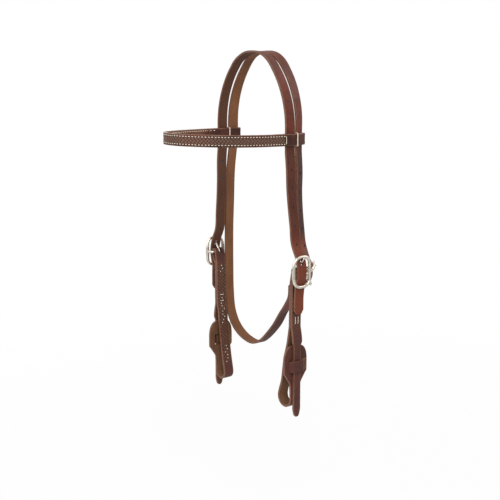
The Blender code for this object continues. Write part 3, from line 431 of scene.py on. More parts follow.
def tongueWire(name, buckle, place, material):
    shape = tongueShape
    lean = tongueLean(buckle)
    middle = upright(buckle["dish"] / 2, buckle["halfHeight"] / 2)
    along = upright(math.sin(lean), math.cos(lean))
    reach = math.hypot(buckle["dish"], buckle["halfHeight"]) / 2
    straight = math.sqrt(reach * reach - buckle["ring"] * buckle["ring"])
    points = []
    radii = []
    for share, narrow in shape["narrowShares"]:
        points.append(middle + along * (straight + shape["tip"] * share))
        radii.append(buckle["tongueR"] * narrow)
    for k in range(shape["straightSteps"]):
        points.append(middle + along * straight * (1 - 2 * k / shape["straightSteps"]))
    foot = middle - along * straight
    start = math.atan2(foot.z, foot.x)
    for k in range(shape["loopSteps"] + 1):
        turn = start + math.radians(shape["around"]) * k / shape["loopSteps"]
        points.append(upright(buckle["ring"] * math.cos(turn), buckle["ring"] * math.sin(turn)))
    radii += [buckle["tongueR"]] * (len(points) - len(radii))
    bm = bmesh.new()
    addTube(bm, points, radii, shape["sides"], False, yWay)
    made = settle(plainObject(name + "_wire", bm, place), name, smoothing["wire"])
    made.data.materials.append(material)
    return made


# Crown strap, near side 1 and off side -1
poll = {
    "width": 0.032,
    "flat": 0.0035,
    "radius": 0.0495,
    "turn": 50.0,
    "temple": 0.0079,
    "templeRadius": 0.1199,
    "slitTurn": {1: 20.0, -1: 30.0},  # how far down the bend each slit starts
    "slitStart": 0.0012,
    "slitEnd": 0.0026,
    "cup": 0.0009,  # how far the edges of the poll rise
    "cupFade": 1.3,
    "bow": {1: 0.0022, -1: 0.0027},  # how far each slit stands open between poll and browband
    "bowAt": 0.45,  # below 1 it opens widest nearer to the poll
    "close": {1: 0.0006, -1: 0.0},  # how much narrower it is at the browband
    "acrossShares": (-1.0, -0.52, 0.0, 0.52, 1.0),
}
legs = {"slideEnd": 0.1310, "turn": {1: 22.0, -1: 7.0}}  # rear legs turn about their own run, in degrees
tails = {1: (0.0605, 0.0014), -1: (0.0575, 0.0034), "throat": (0.0300, -0.0010)}  # below the bar, out
drop = 0.500  # crown to the shoulder of the bit ends

# Leg routes as shares of the drop: across, along the head, up, and the turn in degrees
cheekRoute = (
    (0.1540, -0.0182, -0.306, 0.0),
    (0.1556, -0.0172, -0.360, 0.0),
    (0.1600, -0.0158, -0.410, 0.0),
    (0.1662, -0.0144, -0.460, 0.0),
    (0.1726, -0.0134, -0.512, 0.0),
)
nearThroatRoute = (
    (0.1490, 0.0166, -0.320, 22.0),
    (0.1500, 0.0154, -0.372, 24.0),
    (0.1494, 0.0192, -0.424, 24.0),
    (0.1468, 0.0272, -0.476, 23.0),
    (0.1434, 0.0362, -0.514, 25.0),
)
throatStrapRoute = (
    (-0.1580, 0.0188, -0.328, 7.0),
    (-0.1640, 0.0190, -0.428, 7.0),
    (-0.1690, 0.0198, -0.505, 7.0),
    (-0.1712, 0.0206, -0.581, 6.0),
    (-0.1716, 0.0212, -0.641, 6.0),
    (-0.1706, 0.0216, -0.706, 5.0),
    (-0.1606, 0.0224, -0.773, 4.0),
    (-0.1458, 0.0234, -0.801, 3.0),
    (-0.1234, 0.0250, -0.823, 2.0),
    (-0.0898, 0.0282, -0.8405, 1.0),
    (-0.0570, 0.0322, -0.8460, 0.0),
    (-0.0350, 0.0352, -0.8390, 0.0),
    (-0.0155, 0.0378, -0.8240, 0.0),
    (0.0030, 0.0402, -0.8050, -3.0),
    (0.0275, 0.0430, -0.7760, -4.0),
    (0.0520, 0.0448, -0.7380, 2.0),
    (0.0815, 0.0430, -0.6970, 10.0),
)
foldShares = ((0.12, 0.10), (0.28, 0.20), (0.45, 0.22), (0.62, 0.16), (0.82, 0.06))  # down and out
throatSteps = {"fold": 8, "bend": 12, "bar": 24, "front": 6, "blend": 6}


def strapAcross(along, side, turn):
    flat = Vector((-side * math.sin(math.radians(turn)), math.cos(math.radians(turn)), 0.0))
    return (flat - along * flat.dot(along)).normalized()


def archStation(run):
    z = leather["crown"] / 2
    bend = math.radians(poll["turn"])
    turned = min(max(run - poll["flat"], 0.0) / poll["radius"], bend)
    x = min(run, poll["flat"]) + poll["radius"] * math.sin(turned)
    z -= poll["radius"] * (1 - math.cos(turned))
    left = run - poll["flat"] - poll["radius"] * bend
    if left <= 0:
        return x, z, turned
    line = min(left, poll["temple"])
    x += line * math.cos(bend)
    z -= line * math.sin(bend)
    left -= line
    now = min(bend + left / poll["templeRadius"], math.pi / 2)
    x += poll["templeRadius"] * (math.sin(now) - math.sin(bend))
    z -= poll["templeRadius"] * (math.cos(bend) - math.cos(now))
    left -= poll["templeRadius"] * (now - bend)
    return x, z - max(left, 0.0), now


templeRun = poll["flat"] + poll["radius"] * math.radians(poll["turn"]) + poll["temple"]
archRun = templeRun + poll["templeRadius"] * (math.pi / 2 - math.radians(poll["turn"]))
slideRun = archRun + archStation(archRun)[1] + legs["slideEnd"]
legOut = archStation(archRun)[0]
slitRun = {}
for side, turn in poll["slitTurn"].items():
    slitRun[side] = poll["flat"] + poll["radius"] * math.radians(turn)


def columns(centre, across, width):
    return [centre + across * (width * share) for share in (-0.5, 0.0, 0.5)]


def cupped(run, y):
    lift = poll["cup"] * (1 - eased(run / archRun * poll["cupFade"]))
    return lift * (y / poll["width"] * 2) ** 2


def legStart(side, rear):
    rows = []
    start = slitRun[side]
    steps = round((slideRun - start) / fit["spacing"])
    for i in range(steps + 1):
        run = start + (slideRun - start) * i / steps
        x, z, heading = archStation(run)
        share = min((run - start) / (archRun - start), 1.0)
        out = upright(side * math.sin(heading), math.cos(heading))
        halfGap = (poll["slitStart"] + (poll["slitEnd"] - poll["slitStart"]) * share) / 2
        bow = math.sin(math.pi * share ** poll["bowAt"])
        halfGap += (poll["bow"][side] * bow - poll["close"][side] * share) / 2
        width = (poll["width"] - poll["slitStart"]) / 2 * (1 - share) + leather["strap"] * share
        width -= poll["bow"][side] * bow / 4
        centre = upright(side * x, z)
        if rear:
            turn = math.radians(legs["turn"][side] * share)
            across = Vector((0.0, math.cos(turn), 0.0)) - out * math.sin(turn)
            inward = width / 2 * math.sin(turn) + leather["crown"] / 2 * (math.cos(turn) - 1)
            back = halfGap + width / 2 * math.cos(turn) + leather["crown"] / 2 * math.sin(turn)
            rows.append(columns(centre - out * inward + Vector((0.0, back, 0.0)), across, width))
        else:
            centre.y = -halfGap - width / 2
            rows.append(columns(centre, yWay, width))
        for p in rows[-1]:
            p += out * cupped(run, p.y)
    return rows


def pollRows(side):
    rows = []
    steps = round(slitRun[side] / fit["spacing"])
    for i in range(steps):
        run = slitRun[side] * i / steps
        x, z, heading = archStation(run)
        out = upright(side * math.sin(heading), math.cos(heading))
        ys = [share * poll["width"] / 2 for share in poll["acrossShares"]]
        rows.append([Vector((side * x, y, z)) + out * cupped(run, y) for y in ys])
    return rows


def tagged(points, turn):
    return [Vector((*p, turn)) for p in points]


def fromShares(shares, side):
    return [Vector((side * x * drop, y * drop, z * drop, turn)) for x, y, z, turn in shares]


def billetRoute(buckle, place, tail):
    steps = billet["steps"]
    points = []
    for k in range(steps["over"] + 1):
        up = buckle["halfHeight"] * (1 - 2 * k / steps["over"])
        points.append(upright(billetOut(buckle, up), up))
    length, out = tail
    last = points[-1]
    middle = upright(out, -(buckle["halfHeight"] + length) / 2)
    for k in range(1, steps["fall"] + 1):
        u = k / steps["fall"]
        points.append(upright(last.x + (middle.x - last.x) * eased(u), last.z + (middle.z - last.z) * u))
    foot = upright(out, -length + billet["tip"])
    points += [middle.lerp(foot, k / steps["tail"]) for k in range(1, steps["tail"] + 1)]
    points += [foot.lerp(upright(out, -length), k / steps["tip"]) for k in range(1, steps["tip"] + 1)]
    return [place @ p for p in points]


def routedRows(route, side, place=None, square=0):
    centres = [p.xyz for p in route]
    rows = []
    ways = tangents(centres)
    for i, way in enumerate(ways):
        across = strapAcross(way, side, route[i].w)
        if place and i >= len(centres) - square:
            across = place.to_3x3() @ yWay
        rows.append({"at": centres[i], "along": way, "across": across, "width": leather["strap"]})
    foot = rows[-1]["at"]
    for row in rows[-billet["tipRows"] :]:
        left = (row["at"] - foot).length / billet["tip"]
        row["width"] = billet["tipWidth"] + (leather["strap"] - billet["tipWidth"]) * min(left, 1.0)
    return rows


def rowFrame(rows, height):
    for before, after in zip(rows, rows[1:]):
        if before["at"].z >= height > after["at"].z:
            share = (before["at"].z - height) / (before["at"].z - after["at"].z)
            at, along, across = [before[k].lerp(after[k], share) for k in ("at", "along", "across")]
            return at, along.normalized(), across.normalized()
    return None


def punchRow(bm, rows, lowest, wide):
    for k in range(billet["holes"]):
        found = rowFrame(rows, lowest + billet["spacing"] * k)
        if found:
            at, along, across = found
            through = along.cross(across).normalized()
            addPunch(bm, at, through, along, holes["long"], wide, leather["crown"] * 2)


def punchTongueHole(bm, buckle, place):
    up = tongueHoleUp(buckle)
    step = buckle["halfHeight"] * billet["slopeShare"]
    rise = billetOut(buckle, up + step) - billetOut(buckle, up - step)
    turn = place.to_3x3()
    along = turn @ upright(rise, step * 2).normalized()
    through = along.cross(turn @ yWay).normalized()
    at = place @ upright(billetOut(buckle, up), up)
    addPunch(bm, at, through, along, buckle["hole"], holes["tongue"], leather["crown"] * 2)


def chapeSlot(bm, buckle, place):
    turn = place.to_3x3()
    size = 2 * buckle["chapeOuter"] + fit["gap"]
    across, up = turn @ yWay, turn @ zWay
    addPunch(bm, place.translation, across, up, size, size, holes["slot"], holes["slotSides"])


def threadHoles(bm, place, out, acrosses, ups, depth):
    turn = place.to_3x3()
    ways = turn @ xWay, turn @ zWay
    for up in ups:
        for across in acrosses:
            at = place @ Vector((out, across, up))
            addPunch(bm, at, *ways, holes["thread"], holes["thread"], depth, holes["threadSides"])


def throatBend(turn):
    out = -throat["chapeMid"] - throat["bendRadius"] * (1 - math.cos(turn))
    return upright(out, -throat["bendRadius"] * math.sin(turn))


def throatChapePlace():
    turn = math.radians(throat["bendTurn"])
    return throatPlace() @ Matrix.Translation(throatBend(turn)) @ Matrix.Rotation(turn, 4, "Y")


def chapeArc(buckle, start, end, steps):
    turns = [math.radians(start + (end - start) * k / steps) for k in range(steps + 1)]
    return [upright(buckle["chapeMid"] * math.cos(t), buckle["chapeMid"] * math.sin(t)) for t in turns]


def cheekLegRows(side, last, punches):
    place = cheekPlace(side)
    over = billetRoute(cheek, place, tails[side])
    points = tagged([last], 0.0) + fromShares(cheekRoute, side) + tagged([over[0]], 0.0)
    route = smoothRoute(points, fit["spacing"] * 2)[:-1] + tagged(over, 0.0)
    routed = routedRows(route, side)
    punchRow(punches, routed, place.translation.z + billet["cheekFirst"], holes["wide"])
    punchTongueHole(punches, cheek, place)
    return routed


def throatLegRows(last, punches):
    place = throatPlace()
    turn = throat["turns"][0]
    over = billetRoute(throat, place, tails["throat"])
    points = tagged([last], legs["turn"][1]) + fromShares(nearThroatRoute, 1) + tagged([over[0]], turn)
    route = smoothRoute(points, fit["spacing"] * 2)[:-1] + tagged(over, turn)
    routed = routedRows(route, 1, place, len(over))
    punchRow(punches, routed, place.translation.z + billet["throatFirst"], holes["throatWide"])
    punchTongueHole(punches, throat, place)
    return routed


def throatStrapRows(last, punches):
    steps = throatSteps
    place = throatPlace()
    chape = throatChapePlace()
    across = place.to_3x3() @ yWay
    route = tagged([last], -legs["turn"][-1])
    for point in fromShares(throatStrapRoute, 1):
        route.append(Vector((*point.xyz, -point.w)))
    below = chape @ upright(0.0, -throat["chape"] - billet["tip"])
    line = smoothRoute(route + tagged([below], -throat["turns"][0]), fit["spacing"] * 2)
    rows = routedRows(line, -1)[:-1]
    for row in rows:
        row["width"] = leather["strap"]
    folded = [below.lerp(chape.translation, k / steps["fold"]) for k in range(steps["fold"] + 1)]
    for k in range(1, steps["bend"] + 1):
        folded.append(place @ throatBend(math.radians(throat["bendTurn"]) * (1 - k / steps["bend"])))
    folded += [place @ p for p in chapeArc(throat, 180.0, 0.0, steps["bar"])[1:]]
    pair = leather["crown"] + fit["gap"]
    meet = chape @ upright(pair, 0.0)
    front = folded[-1]
    ease = place.to_3x3() @ upright(throat["chapeMid"], 0.0)
    folded += [front.lerp(meet, down) + ease * out for down, out in foldShares]
    foot = chape @ upright(pair, -throat["chape"])
    folded += [meet.lerp(foot, k / steps["front"]) for k in range(steps["front"] + 1)]
    join = len(rows)
    for centre in folded:
        rows.append({"at": centre, "across": across, "width": leather["strap"]})
    for k in range(1, steps["blend"] + 1):  # the strap turns into the plane of its fold
        row = rows[join - k]
        row["across"] = row["across"].lerp(across, (1 - k / (steps["blend"] + 1)) ** 2).normalized()
    chapeSlot(punches, throat, place)
    ups = (-tacks["throatTop"], -tacks["throatTop"] - tacks["throatHeight"])
    sides = (-thread["tackWidth"] / 2, thread["tackWidth"] / 2)
    threadHoles(punches, chape, pair / 2, sides, ups, leather["crown"] * 3)
    return rows


def buildCrown(materials):
    punches = bmesh.new()
    patches = []
    for side in (1, -1):
        for rear in (False, True):
            start = legStart(side, rear)
            last = start[-1][1]
            if not rear:
                routed = cheekLegRows(side, last, punches)
            elif side > 0:
                routed = throatLegRows(last, punches)
            else:
                routed = throatStrapRows(last, punches)
            rows = start + [columns(r["at"], r["across"], r["width"]) for r in routed[1:]]
            patches.append({"rows": rows, "from": slitRun[side]})
        whole = pollRows(side)
        patches.append({"rows": whole})
        legRows = (patches[-3]["rows"][0], patches[-2]["rows"][0])
        patches.append({"rows": [whole[-1][:3], legRows[0]], "from": slitRun[side] - fit["spacing"]})
        patches.append({"rows": [whole[-1][2:], legRows[1]], "from": slitRun[side] - fit["spacing"]})
        patches.append({"rows": [[whole[-1][2]] * 2, [legRows[0][2], legRows[1][0]]], "from": slitRun[side]})
    top, place = upright(0.0, leather["crown"] / 2), Matrix.Identity(4)
    return leatherPiece("crown_strap", patches, leather["crown"], materials, place, top, zWay, punches)


# Bit ends, in their own frame: the buckle bar is the origin and the tab hangs down
bitEnd = {
    "drop": 0.2000,
    "pairGap": 0.0004,
    "tabOut": -0.0015,
    "tabWidth": 0.0120,
    "tabDrop": 0.2085,
    "tabTip": 0.0040,
    "tabTaper": 0.0110,
    "loopDrop": 0.1830,
    "loop": {1: 0.0126, -1: 0.0100},  # the off loop is smaller
    "paddleWidth": 0.0410,
    "paddleTop": 0.1060,
    "paddleFoot": 0.1640,
    "bandTop": 0.1275,
    "bandHeight": 0.0150,
    "slit": 0.0010,
    "slitWidth": 0.0256,
    "bandFlat": 0.0156,
}
thread = {"thick": 0.0009, "tackWidth": 0.0094, "sides": 10, "bend": 0.8, "bendSteps": 5}
tacks = {
    "inset": 0.0022,
    "top": 0.0650,
    "height": 0.0095,
    "throatTop": 0.0050,
    "throatHeight": 0.0060,
    "brow": 0.0096,
}
bitTackWidth = thread["tackWidth"] - 2 * tacks["inset"]

# Profile as shares of the drop: out from the bar and up
pairBack = ((-0.0285, -0.055), (-0.0340, -0.085))
pairLean = ((-0.0358, -0.110), (-0.0378, -0.240), (-0.0398, -0.370), (-0.0401, -0.390))
backShares = {
    1: ((-0.0480, -0.440), (-0.0650, -0.530), (-0.0900, -0.620), (-0.1040, -0.700), (-0.1190, -0.800)),
    -1: ((-0.0530, -0.440), (-0.0590, -0.520), (-0.0730, -0.615), (-0.0880, -0.715), (-0.1060, -0.815)),
}
frontBend = ((-0.0120, -0.440), (-0.0045, -0.490), (-0.0055, -0.530), (-0.0075, -0.585))
stepUp = ((0.0185, -0.018), (0.0100, -0.039), (-0.0040, -0.063), (-0.0155, -0.084))
shoulder = 0.500
neck = 0.528
# Paddle ends: share along, share of the width
lipShape = ((0.00, 0.44), (0.12, 0.66), (0.32, 0.83), (0.62, 0.95), (1.0, 1.0))
taperShape = ((0.00, 1.0), (0.08, 0.97), (0.22, 0.86), (0.45, 0.70), (0.68, 0.54), (0.86, 0.44))
slitShare = bitEnd["slitWidth"] / bitEnd["paddleWidth"]
flatShare = slitShare * bitEnd["bandFlat"] / bitEnd["slitWidth"]
flatSteps = (0.6, 0.9, 1.12)  # columns across the paddle's half, by its flat and by its slit
nearSlit = 0.94
outerShare = 0.8
bandShares = [flatShare * step for step in flatSteps]
halfShares = [0.0, *bandShares, slitShare * nearSlit, slitShare, outerShare, 1.0]
bitColumns = [-s for s in reversed(halfShares[1:])] + halfShares
bitSteps = {"bar": 24, "loop": (170, 365, 5), "taper": 26, "lip": 18, "band": 8, "blend": 5}
joinGap = {"front": 0.0004, "back": 0.0008}  # points nearer than this to the next arc are left out


def bitPoints(shares, shift=0.0):
    return [upright(out * bitEnd["drop"] + shift, up * bitEnd["drop"]) for out, up in shares]


def bitProfile(side):
    radius = bitEnd["loop"][side]
    pair = leather["bit"] + bitEnd["pairGap"]
    tab = bitEnd["tabOut"]
    bottom = bitEnd["bandTop"] - bitEnd["bandHeight"] / 2
    foot = -bitEnd["tabDrop"]
    ups = (foot, foot + bitEnd["tabTaper"], -(bitEnd["tabDrop"] + bottom) / 2, -bottom)
    front = [upright(tab, up) for up in ups]
    front += bitPoints(reversed(frontBend)) + bitPoints(reversed(pairLean), pair)
    front += bitPoints(reversed(stepUp))
    around = chapeArc(cheek, 0.0, 180.0, bitSteps["bar"])
    front = smoothRoute(front + around[:2], fit["spacing"])[:-1]
    while front[-1].z > -joinGap["front"]:
        front.pop()
    centreOut = tab - pair - radius
    loop = []
    for degrees in range(*bitSteps["loop"]):
        turn = math.radians(degrees)
        out = centreOut + radius * math.cos(turn)
        loop.append(upright(out, -bitEnd["loopDrop"] + radius * math.sin(turn)))
    back = bitPoints(pairBack + pairLean + backShares[side])
    down = smoothRoute(around[-2:] + back + loop[:2], fit["spacing"])
    apart = joinGap["back"]
    down = [p for p in down if p.z < -apart and (p - loop[0]).length > apart and p.z > loop[0].z]
    return front, around, down, loop


def stripHalf(up, isFront):
    wide = leather["strap"] / 2
    if isFront and up < -shoulder * bitEnd["drop"]:
        necked = eased((-up / bitEnd["drop"] - shoulder) / (neck - shoulder))
        wide += (bitEnd["tabWidth"] - leather["strap"]) / 2 * necked
        tip = (bitEnd["tabDrop"] + up) / bitEnd["tabTaper"]
        if tip < 1.0:
            wide = bitEnd["tabTip"] / 2 + (wide - bitEnd["tabTip"] / 2) * math.sqrt(max(tip, 0.0))
    return wide


def alongShape(shape, count):
    spots = [Vector((a, b, 0.0)) for a, b in shape]
    return [(p.x, p.y) for p in smoothRoute(spots, 1.0 / count)]


def paddleRows():
    foot = bitEnd["bandTop"] + bitEnd["bandHeight"] + bitEnd["slit"]
    wide = bitEnd["paddleWidth"] / 2
    rows = []
    for share, width in reversed(alongShape(taperShape, bitSteps["taper"])):
        rows.append((foot + (bitEnd["paddleFoot"] - foot) * share, wide * width, 0.0))
    rows.append((foot - bitEnd["slit"], wide, 1.0))
    for k in range(1, bitSteps["band"]):
        rows.append((foot - bitEnd["slit"] - bitEnd["bandHeight"] * k / bitSteps["band"], wide, 1.0))
    rows.append((bitEnd["bandTop"], wide, 1.0))
    lip = bitEnd["bandTop"] - bitEnd["slit"] - bitEnd["paddleTop"]
    for share, width in reversed(alongShape(lipShape, bitSteps["lip"])):
        rows.append((bitEnd["paddleTop"] + lip * share, wide * width, 0.0))
    return rows


def bitEndPatches(side):
    front, around, down, loop = bitProfile(side)
    rows = []
    for group, isFront in ((front, True), (around, False), (down, False), (loop, False)):
        for p in group:
            wide = stripHalf(p.z, isFront)
            rows.append([p + Vector((0.0, wide * s, 0.0)) for s in bitColumns])
    out = bitEnd["tabOut"] - leather["bit"] - bitEnd["pairGap"]
    bulge = 2 * (leather["bit"] + bitEnd["pairGap"])
    blendFrom = loop[-1].x
    lifted = {}  # rows of the paddle by number, 1 on the band that holds the tab
    for i, (low, wide, onBand) in enumerate(paddleRows()):
        lifted[len(rows)] = onBand
        base = blendFrom + (out - blendFrom) * eased((i + 1) / bitSteps["blend"])
        row = []
        for s in bitColumns:
            lift = bulge * onBand * eased((slitShare - abs(s)) / (slitShare - flatShare))
            row.append(Vector((base + lift, wide * s, -low)))
        rows.append(row)
    slitColumns = [abs(s) <= slitShare for s in bitColumns]

    def opened(i, k):
        crosses = i in lifted and lifted[i] != lifted.get(i + 1, lifted[i])
        return crosses and slitColumns[k] and slitColumns[k + 1]

    return [{"rows": rows, "open": opened}]


def buildBitEnd(name, side, materials):
    punches = bmesh.new()
    whole = Matrix.Identity(4)
    chapeSlot(punches, cheek, whole)
    out = bitEnd["tabOut"] - leather["bit"] - bitEnd["pairGap"]
    ups = (-tacks["top"], -tacks["top"] - tacks["height"])
    threadHoles(punches, whole, out, (-bitTackWidth / 2, bitTackWidth / 2), ups, leather["bit"] * 4)
    grainAt = upright(0.0, -tacks["top"])
    ahead = xWay
    patches = bitEndPatches(side)
    return leatherPiece(name, patches, leather["bit"], materials, cheekPlace(side), grainAt, ahead, punches)


straightOn = 0.98  # a thread that turns less than this keeps its corner


def layerAt(points, height):
    for a, b in zip(points, points[1:]):
        low, high = sorted((a.z, b.z))
        if low <= height <= high and high > low:
            return a.x + (b.x - a.x) * (height - a.z) / (b.z - a.z)
    return points[0].x


def roundedLoop(path, radius, steps):
    line = []
    count = len(path)
    for i in range(count):
        into = (path[i] - path[i - 1]).normalized()
        away = (path[(i + 1) % count] - path[i]).normalized()
        if into.dot(away) > straightOn:
            line.append(path[i])
            continue
        for k in range(steps + 1):
            u = k / steps
            line.append(path[i] - into * (radius * (1 - u) ** 2) + away * (radius * u * u))
    return line


def threadLoop(name, path, place, material):
    line = roundedLoop(path, thread["thick"] * thread["bend"], thread["bendSteps"])
    rings = []
    count = len(line)
    sides = thread["sides"]
    bm = bmesh.new()
    first = None
    for i in range(count):
        along = (line[(i + 1) % count] - line[i - 1]).normalized()
        first = first or along.orthogonal().normalized()
        first = (first - along * first.dot(along)).normalized()
        second = along.cross(first)
        ring = []
        for k in range(sides):
            turn = math.tau * k / sides
            out = first * math.cos(turn) + second * math.sin(turn)
            ring.append(bm.verts.new(line[i] + out * (thread["thick"] / 2)))
        rings.append(ring)
    for i in range(count):
        here, there = rings[i], rings[(i + 1) % count]
        shift = 0
        if i == count - 1:  # the last ring meets the first where its corners lie nearest
            gaps = []
            for s in range(sides):
                gaps.append(sum((here[k].co - there[(k + s) % sides].co).length for k in range(sides)))
            shift = gaps.index(min(gaps))
        for k in range(sides):
            m = (k + 1) % sides
            bm.faces.new((here[k], here[m], there[(m + shift) % sides], there[(k + shift) % sides]))
    made = settle(plainObject(name + "_line", bm, place), name, smoothing["thread"])
    made.data.materials.append(material)
    return made


def tackPath(ups, fronts, backs, width):
    top, bottom = ups
    corners = ((fronts[0], top), (fronts[1], bottom), (backs[1], bottom), (backs[0], top))
    left, right = [[Vector((out, across, up)) for out, up in corners] for across in (-width / 2, width / 2)]
    return [*left[:3], right[2], right[1], right[0], right[3], left[3]]


def bitTack(name, side, material):
    front, _, down, _ = bitProfile(side)
    front = [p for p in front if p.z > -bitEnd["tabDrop"] + bitEnd["tabTaper"]]
    over = leather["bit"] / 2 + fit["gap"] / 2 + thread["thick"] / 2
    ups = (-tacks["top"], -tacks["top"] - tacks["height"])
    fronts = [layerAt(front, up) + over for up in ups]
    backs = [layerAt(down, up) - over for up in ups]
    return threadLoop(name, tackPath(ups, fronts, backs, bitTackWidth), cheekPlace(side), material)


def throatTack(material):
    over = leather["crown"] / 2 + fit["gap"] / 2 + thread["thick"] / 2
    front = leather["crown"] + fit["gap"] + over
    top = -tacks["throatTop"]
    path = tackPath((top, top - tacks["throatHeight"]), (front, front), (-over, -over), thread["tackWidth"])
    return threadLoop("throat_tack", path, throatChapePlace(), material)


# Browband, round the front of the head, with a loop round the legs at each end
brow = {
    "drop": 0.1140,
    "height": 0.0159,
    "radius": 0.1431,
    "forward": 0.0080,
    "rise": 0.0031,  # how much higher the front is
    "tailEnd": 0.0360,  # how far forward the folded tails reach
    "tailSteps": 10,
    "tailSpacing": 0.0012,
    "tack": 0.0195,  # how far forward the end tacks sit
    "stitchInset": 0.0028,
    "stitchPitch": 0.0043,
    "groove": 0.00022,  # how deep the seams lie
    "grooveShare": 0.09,
    "steps": 150,
    "bendSteps": 8,
    "spacing": 0.0022,
}
tie = {"width": 0.0016, "thick": 0.0008, "bend": 0.0009, "steps": 4}
browOut = legOut + leather["crown"] / 2 + fit["play"] + leather["brow"] / 2
tailInset = leather["brow"] + 2 * fit["gap"] + leather["lining"]
loopIn = legOut - leather["crown"] / 2 - fit["play"] - leather["brow"] / 2
legFront = poll["slitEnd"] / 2 + leather["strap"]
browEase = leather["brow"] / 2 + fit["play"]
browPlace = Matrix.Translation(Vector((0.0, 0.0, -brow["drop"])))
halfColumns = (0.3, 0.59, 0.645, 0.70, 0.82, 1.0)
browColumns = (*[-s for s in reversed(halfColumns)], 0.0, *halfColumns)


def ellipseOut(turn):
    return Vector((math.cos(turn) / browOut, -math.sin(turn) / brow["radius"], 0.0)).normalized()


def ellipsePoint(turn, inset):
    x = browOut * math.cos(turn)
    y = -brow["forward"] - brow["radius"] * math.sin(turn)
    return Vector((x, y)) - ellipseOut(turn).xy * inset


def ellipseTurn(forward):
    return math.asin((forward - brow["forward"]) / brow["radius"])


def browHeight(p):
    share = max(0.0, (-p.y - brow["forward"]) / brow["radius"])
    return brow["rise"] * share * share


def quarterTurn(centre, start):
    angles = [start - math.pi / 2 * k / brow["bendSteps"] for k in range(brow["bendSteps"] + 1)]
    return [centre + Vector((math.cos(a), math.sin(a))) * browEase for a in angles]


def loopPlan(turnDegrees):
    turn = math.radians(turnDegrees)
    across = Vector((-math.sin(turn), math.cos(turn)))
    out = Vector((math.cos(turn), math.sin(turn)))
    strip, thick = leather["strap"] / 2, leather["crown"] / 2
    inward = strip * math.sin(turn) + thick * (math.cos(turn) - 1)
    back = poll["slitEnd"] / 2 + strip * math.cos(turn) + thick * math.sin(turn)
    leg = Vector((legOut - inward, back))
    rearOut = leg + out * thick + across * strip
    rearIn = leg - out * thick + across * strip
    inLine = rearIn - out * browEase
    outLine = rearOut + out * browEase
    ends = [ellipseTurn(brow["tailEnd"] - brow["tailSpacing"] * k) for k in range(brow["tailSteps"])]
    points = [ellipsePoint(end, tailInset) for end in ends]
    points.append(Vector((loopIn, -legFront - fit["play"])))
    points.append(inLine - across * ((inLine.x - loopIn) / across.x))
    points += quarterTurn(rearIn, math.pi + turn) + quarterTurn(rearOut, math.pi / 2 + turn)
    points.append(outLine - across * ((outLine.x - browOut) / across.x))
    return points


def browRows(plan, plain=False):
    rows = []
    last = len(plan) - 1
    stitchShare = 1 - 2 * brow["stitchInset"] / brow["height"]
    for i, p in enumerate(plan):
        ahead = plan[min(i + 1, last)] - plan[max(i - 1, 0)]
        out = Vector((ahead.y, -ahead.x, 0.0)).normalized()
        z = browHeight(p)
        row = []
        for s in browColumns:
            near = 1 - eased(abs(abs(s) - stitchShare) / brow["grooveShare"])
            sunk = 0.0 if plain else -brow["groove"] * near
            row.append(Vector((p.x, p.y, z + s * brow["height"] / 2)) + out * sunk)
        rows.append(row)
    return rows


def denser(plan, spacing):
    fine = []
    for a, b in zip(plan, plan[1:]):
        steps = max(1, round((b - a).length / spacing))
        fine += [a.lerp(b, k / steps) for k in range(steps)]
    return fine + [plan[-1]]


def tackFrame(side):
    turn = ellipseTurn(brow["tack"])
    p = ellipsePoint(turn, 0.0)
    out = ellipseOut(turn)
    return Vector((side * p.x, p.y, browHeight(p))), Vector((side * out.x, out.y, 0.0))


def browPunches():
    bm = bmesh.new()
    size = holes["thread"]
    for side in (1, -1):
        centre, out = tackFrame(side)
        for up in (-tacks["brow"] / 2, tacks["brow"] / 2):
            at = centre - out * (tailInset / 2) + upright(0.0, up)
            addPunch(bm, at, out, zWay, size, size, tailInset * 3, holes["threadSides"])
    return bm


def buildBrowband(materials, liningMaterials):
    def piece(name, plan, plain, thick, stuff, way, rounding):
        patches = [{"rows": browRows(plan, plain)}]
        return leatherPiece(name, patches, thick, stuff, browPlace, front, way, browPunches(), rounding)

    steps = brow["steps"]
    near = loopPlan(legs["turn"][1])
    off = [Vector((-p.x, p.y)) for p in reversed(loopPlan(legs["turn"][-1]))]
    middle = [ellipsePoint(math.pi * k / steps, 0.0) for k in range(steps + 1)]
    plan = denser(near + middle + off, brow["spacing"])
    front = Vector((0.0, -brow["forward"] - brow["radius"], brow["rise"]))
    ahead = Vector((0.0, -1.0, 0.0))
    strap = piece("browband_strap", plan, False, leather["brow"], materials, ahead, edge["browRound"])
    start = ellipseTurn(legFront + fit["gap"] * 2)
    inset = (leather["brow"] + leather["lining"]) / 2 + fit["gap"]
    plan = [ellipsePoint(start + (math.pi - 2 * start) * k / steps, inset) for k in range(steps + 1)]
    back = piece("browband_back", plan, True, leather["lining"], liningMaterials, -ahead, edge["liningRound"])
    return strap, back


def loopThread(name, side, material):
    centre, out = tackFrame(side)
    over = leather["brow"] / 2 + fit["gap"] / 2 + thread["thick"] / 2
    up = upright(0.0, tacks["brow"] / 2)
    outer = centre + out * over
    inner = centre - out * (tailInset + over)
    return threadLoop(name, [outer + up, outer - up, inner - up, inner + up], browPlace, material)


def loopTie(name, side, material):
    ease = fit["gap"] + tie["thick"] / 2
    out = side * (browOut + leather["brow"] / 2 + ease)
    inner = side * (loopIn - leather["brow"] / 2 - ease)
    high = brow["height"] / 2 + ease
    corners = [upright(x, z) for x, z in ((out, -high), (out, high), (inner, high), (inner, -high))]
    line = roundedLoop(corners, tie["bend"], tie["steps"])
    across = Vector((0.0, tie["width"] / 2, 0.0))
    patches = [{"rows": [[p - across, p + across] for p in line + line[:1]]}]
    at, way = upright(out, 0.0), Vector((side, 0.0, 0.0))
    stuff = [material] * 3
    return leatherPiece(name, patches, tie["thick"], stuff, browPlace, at, way, None, edge["tieRound"])


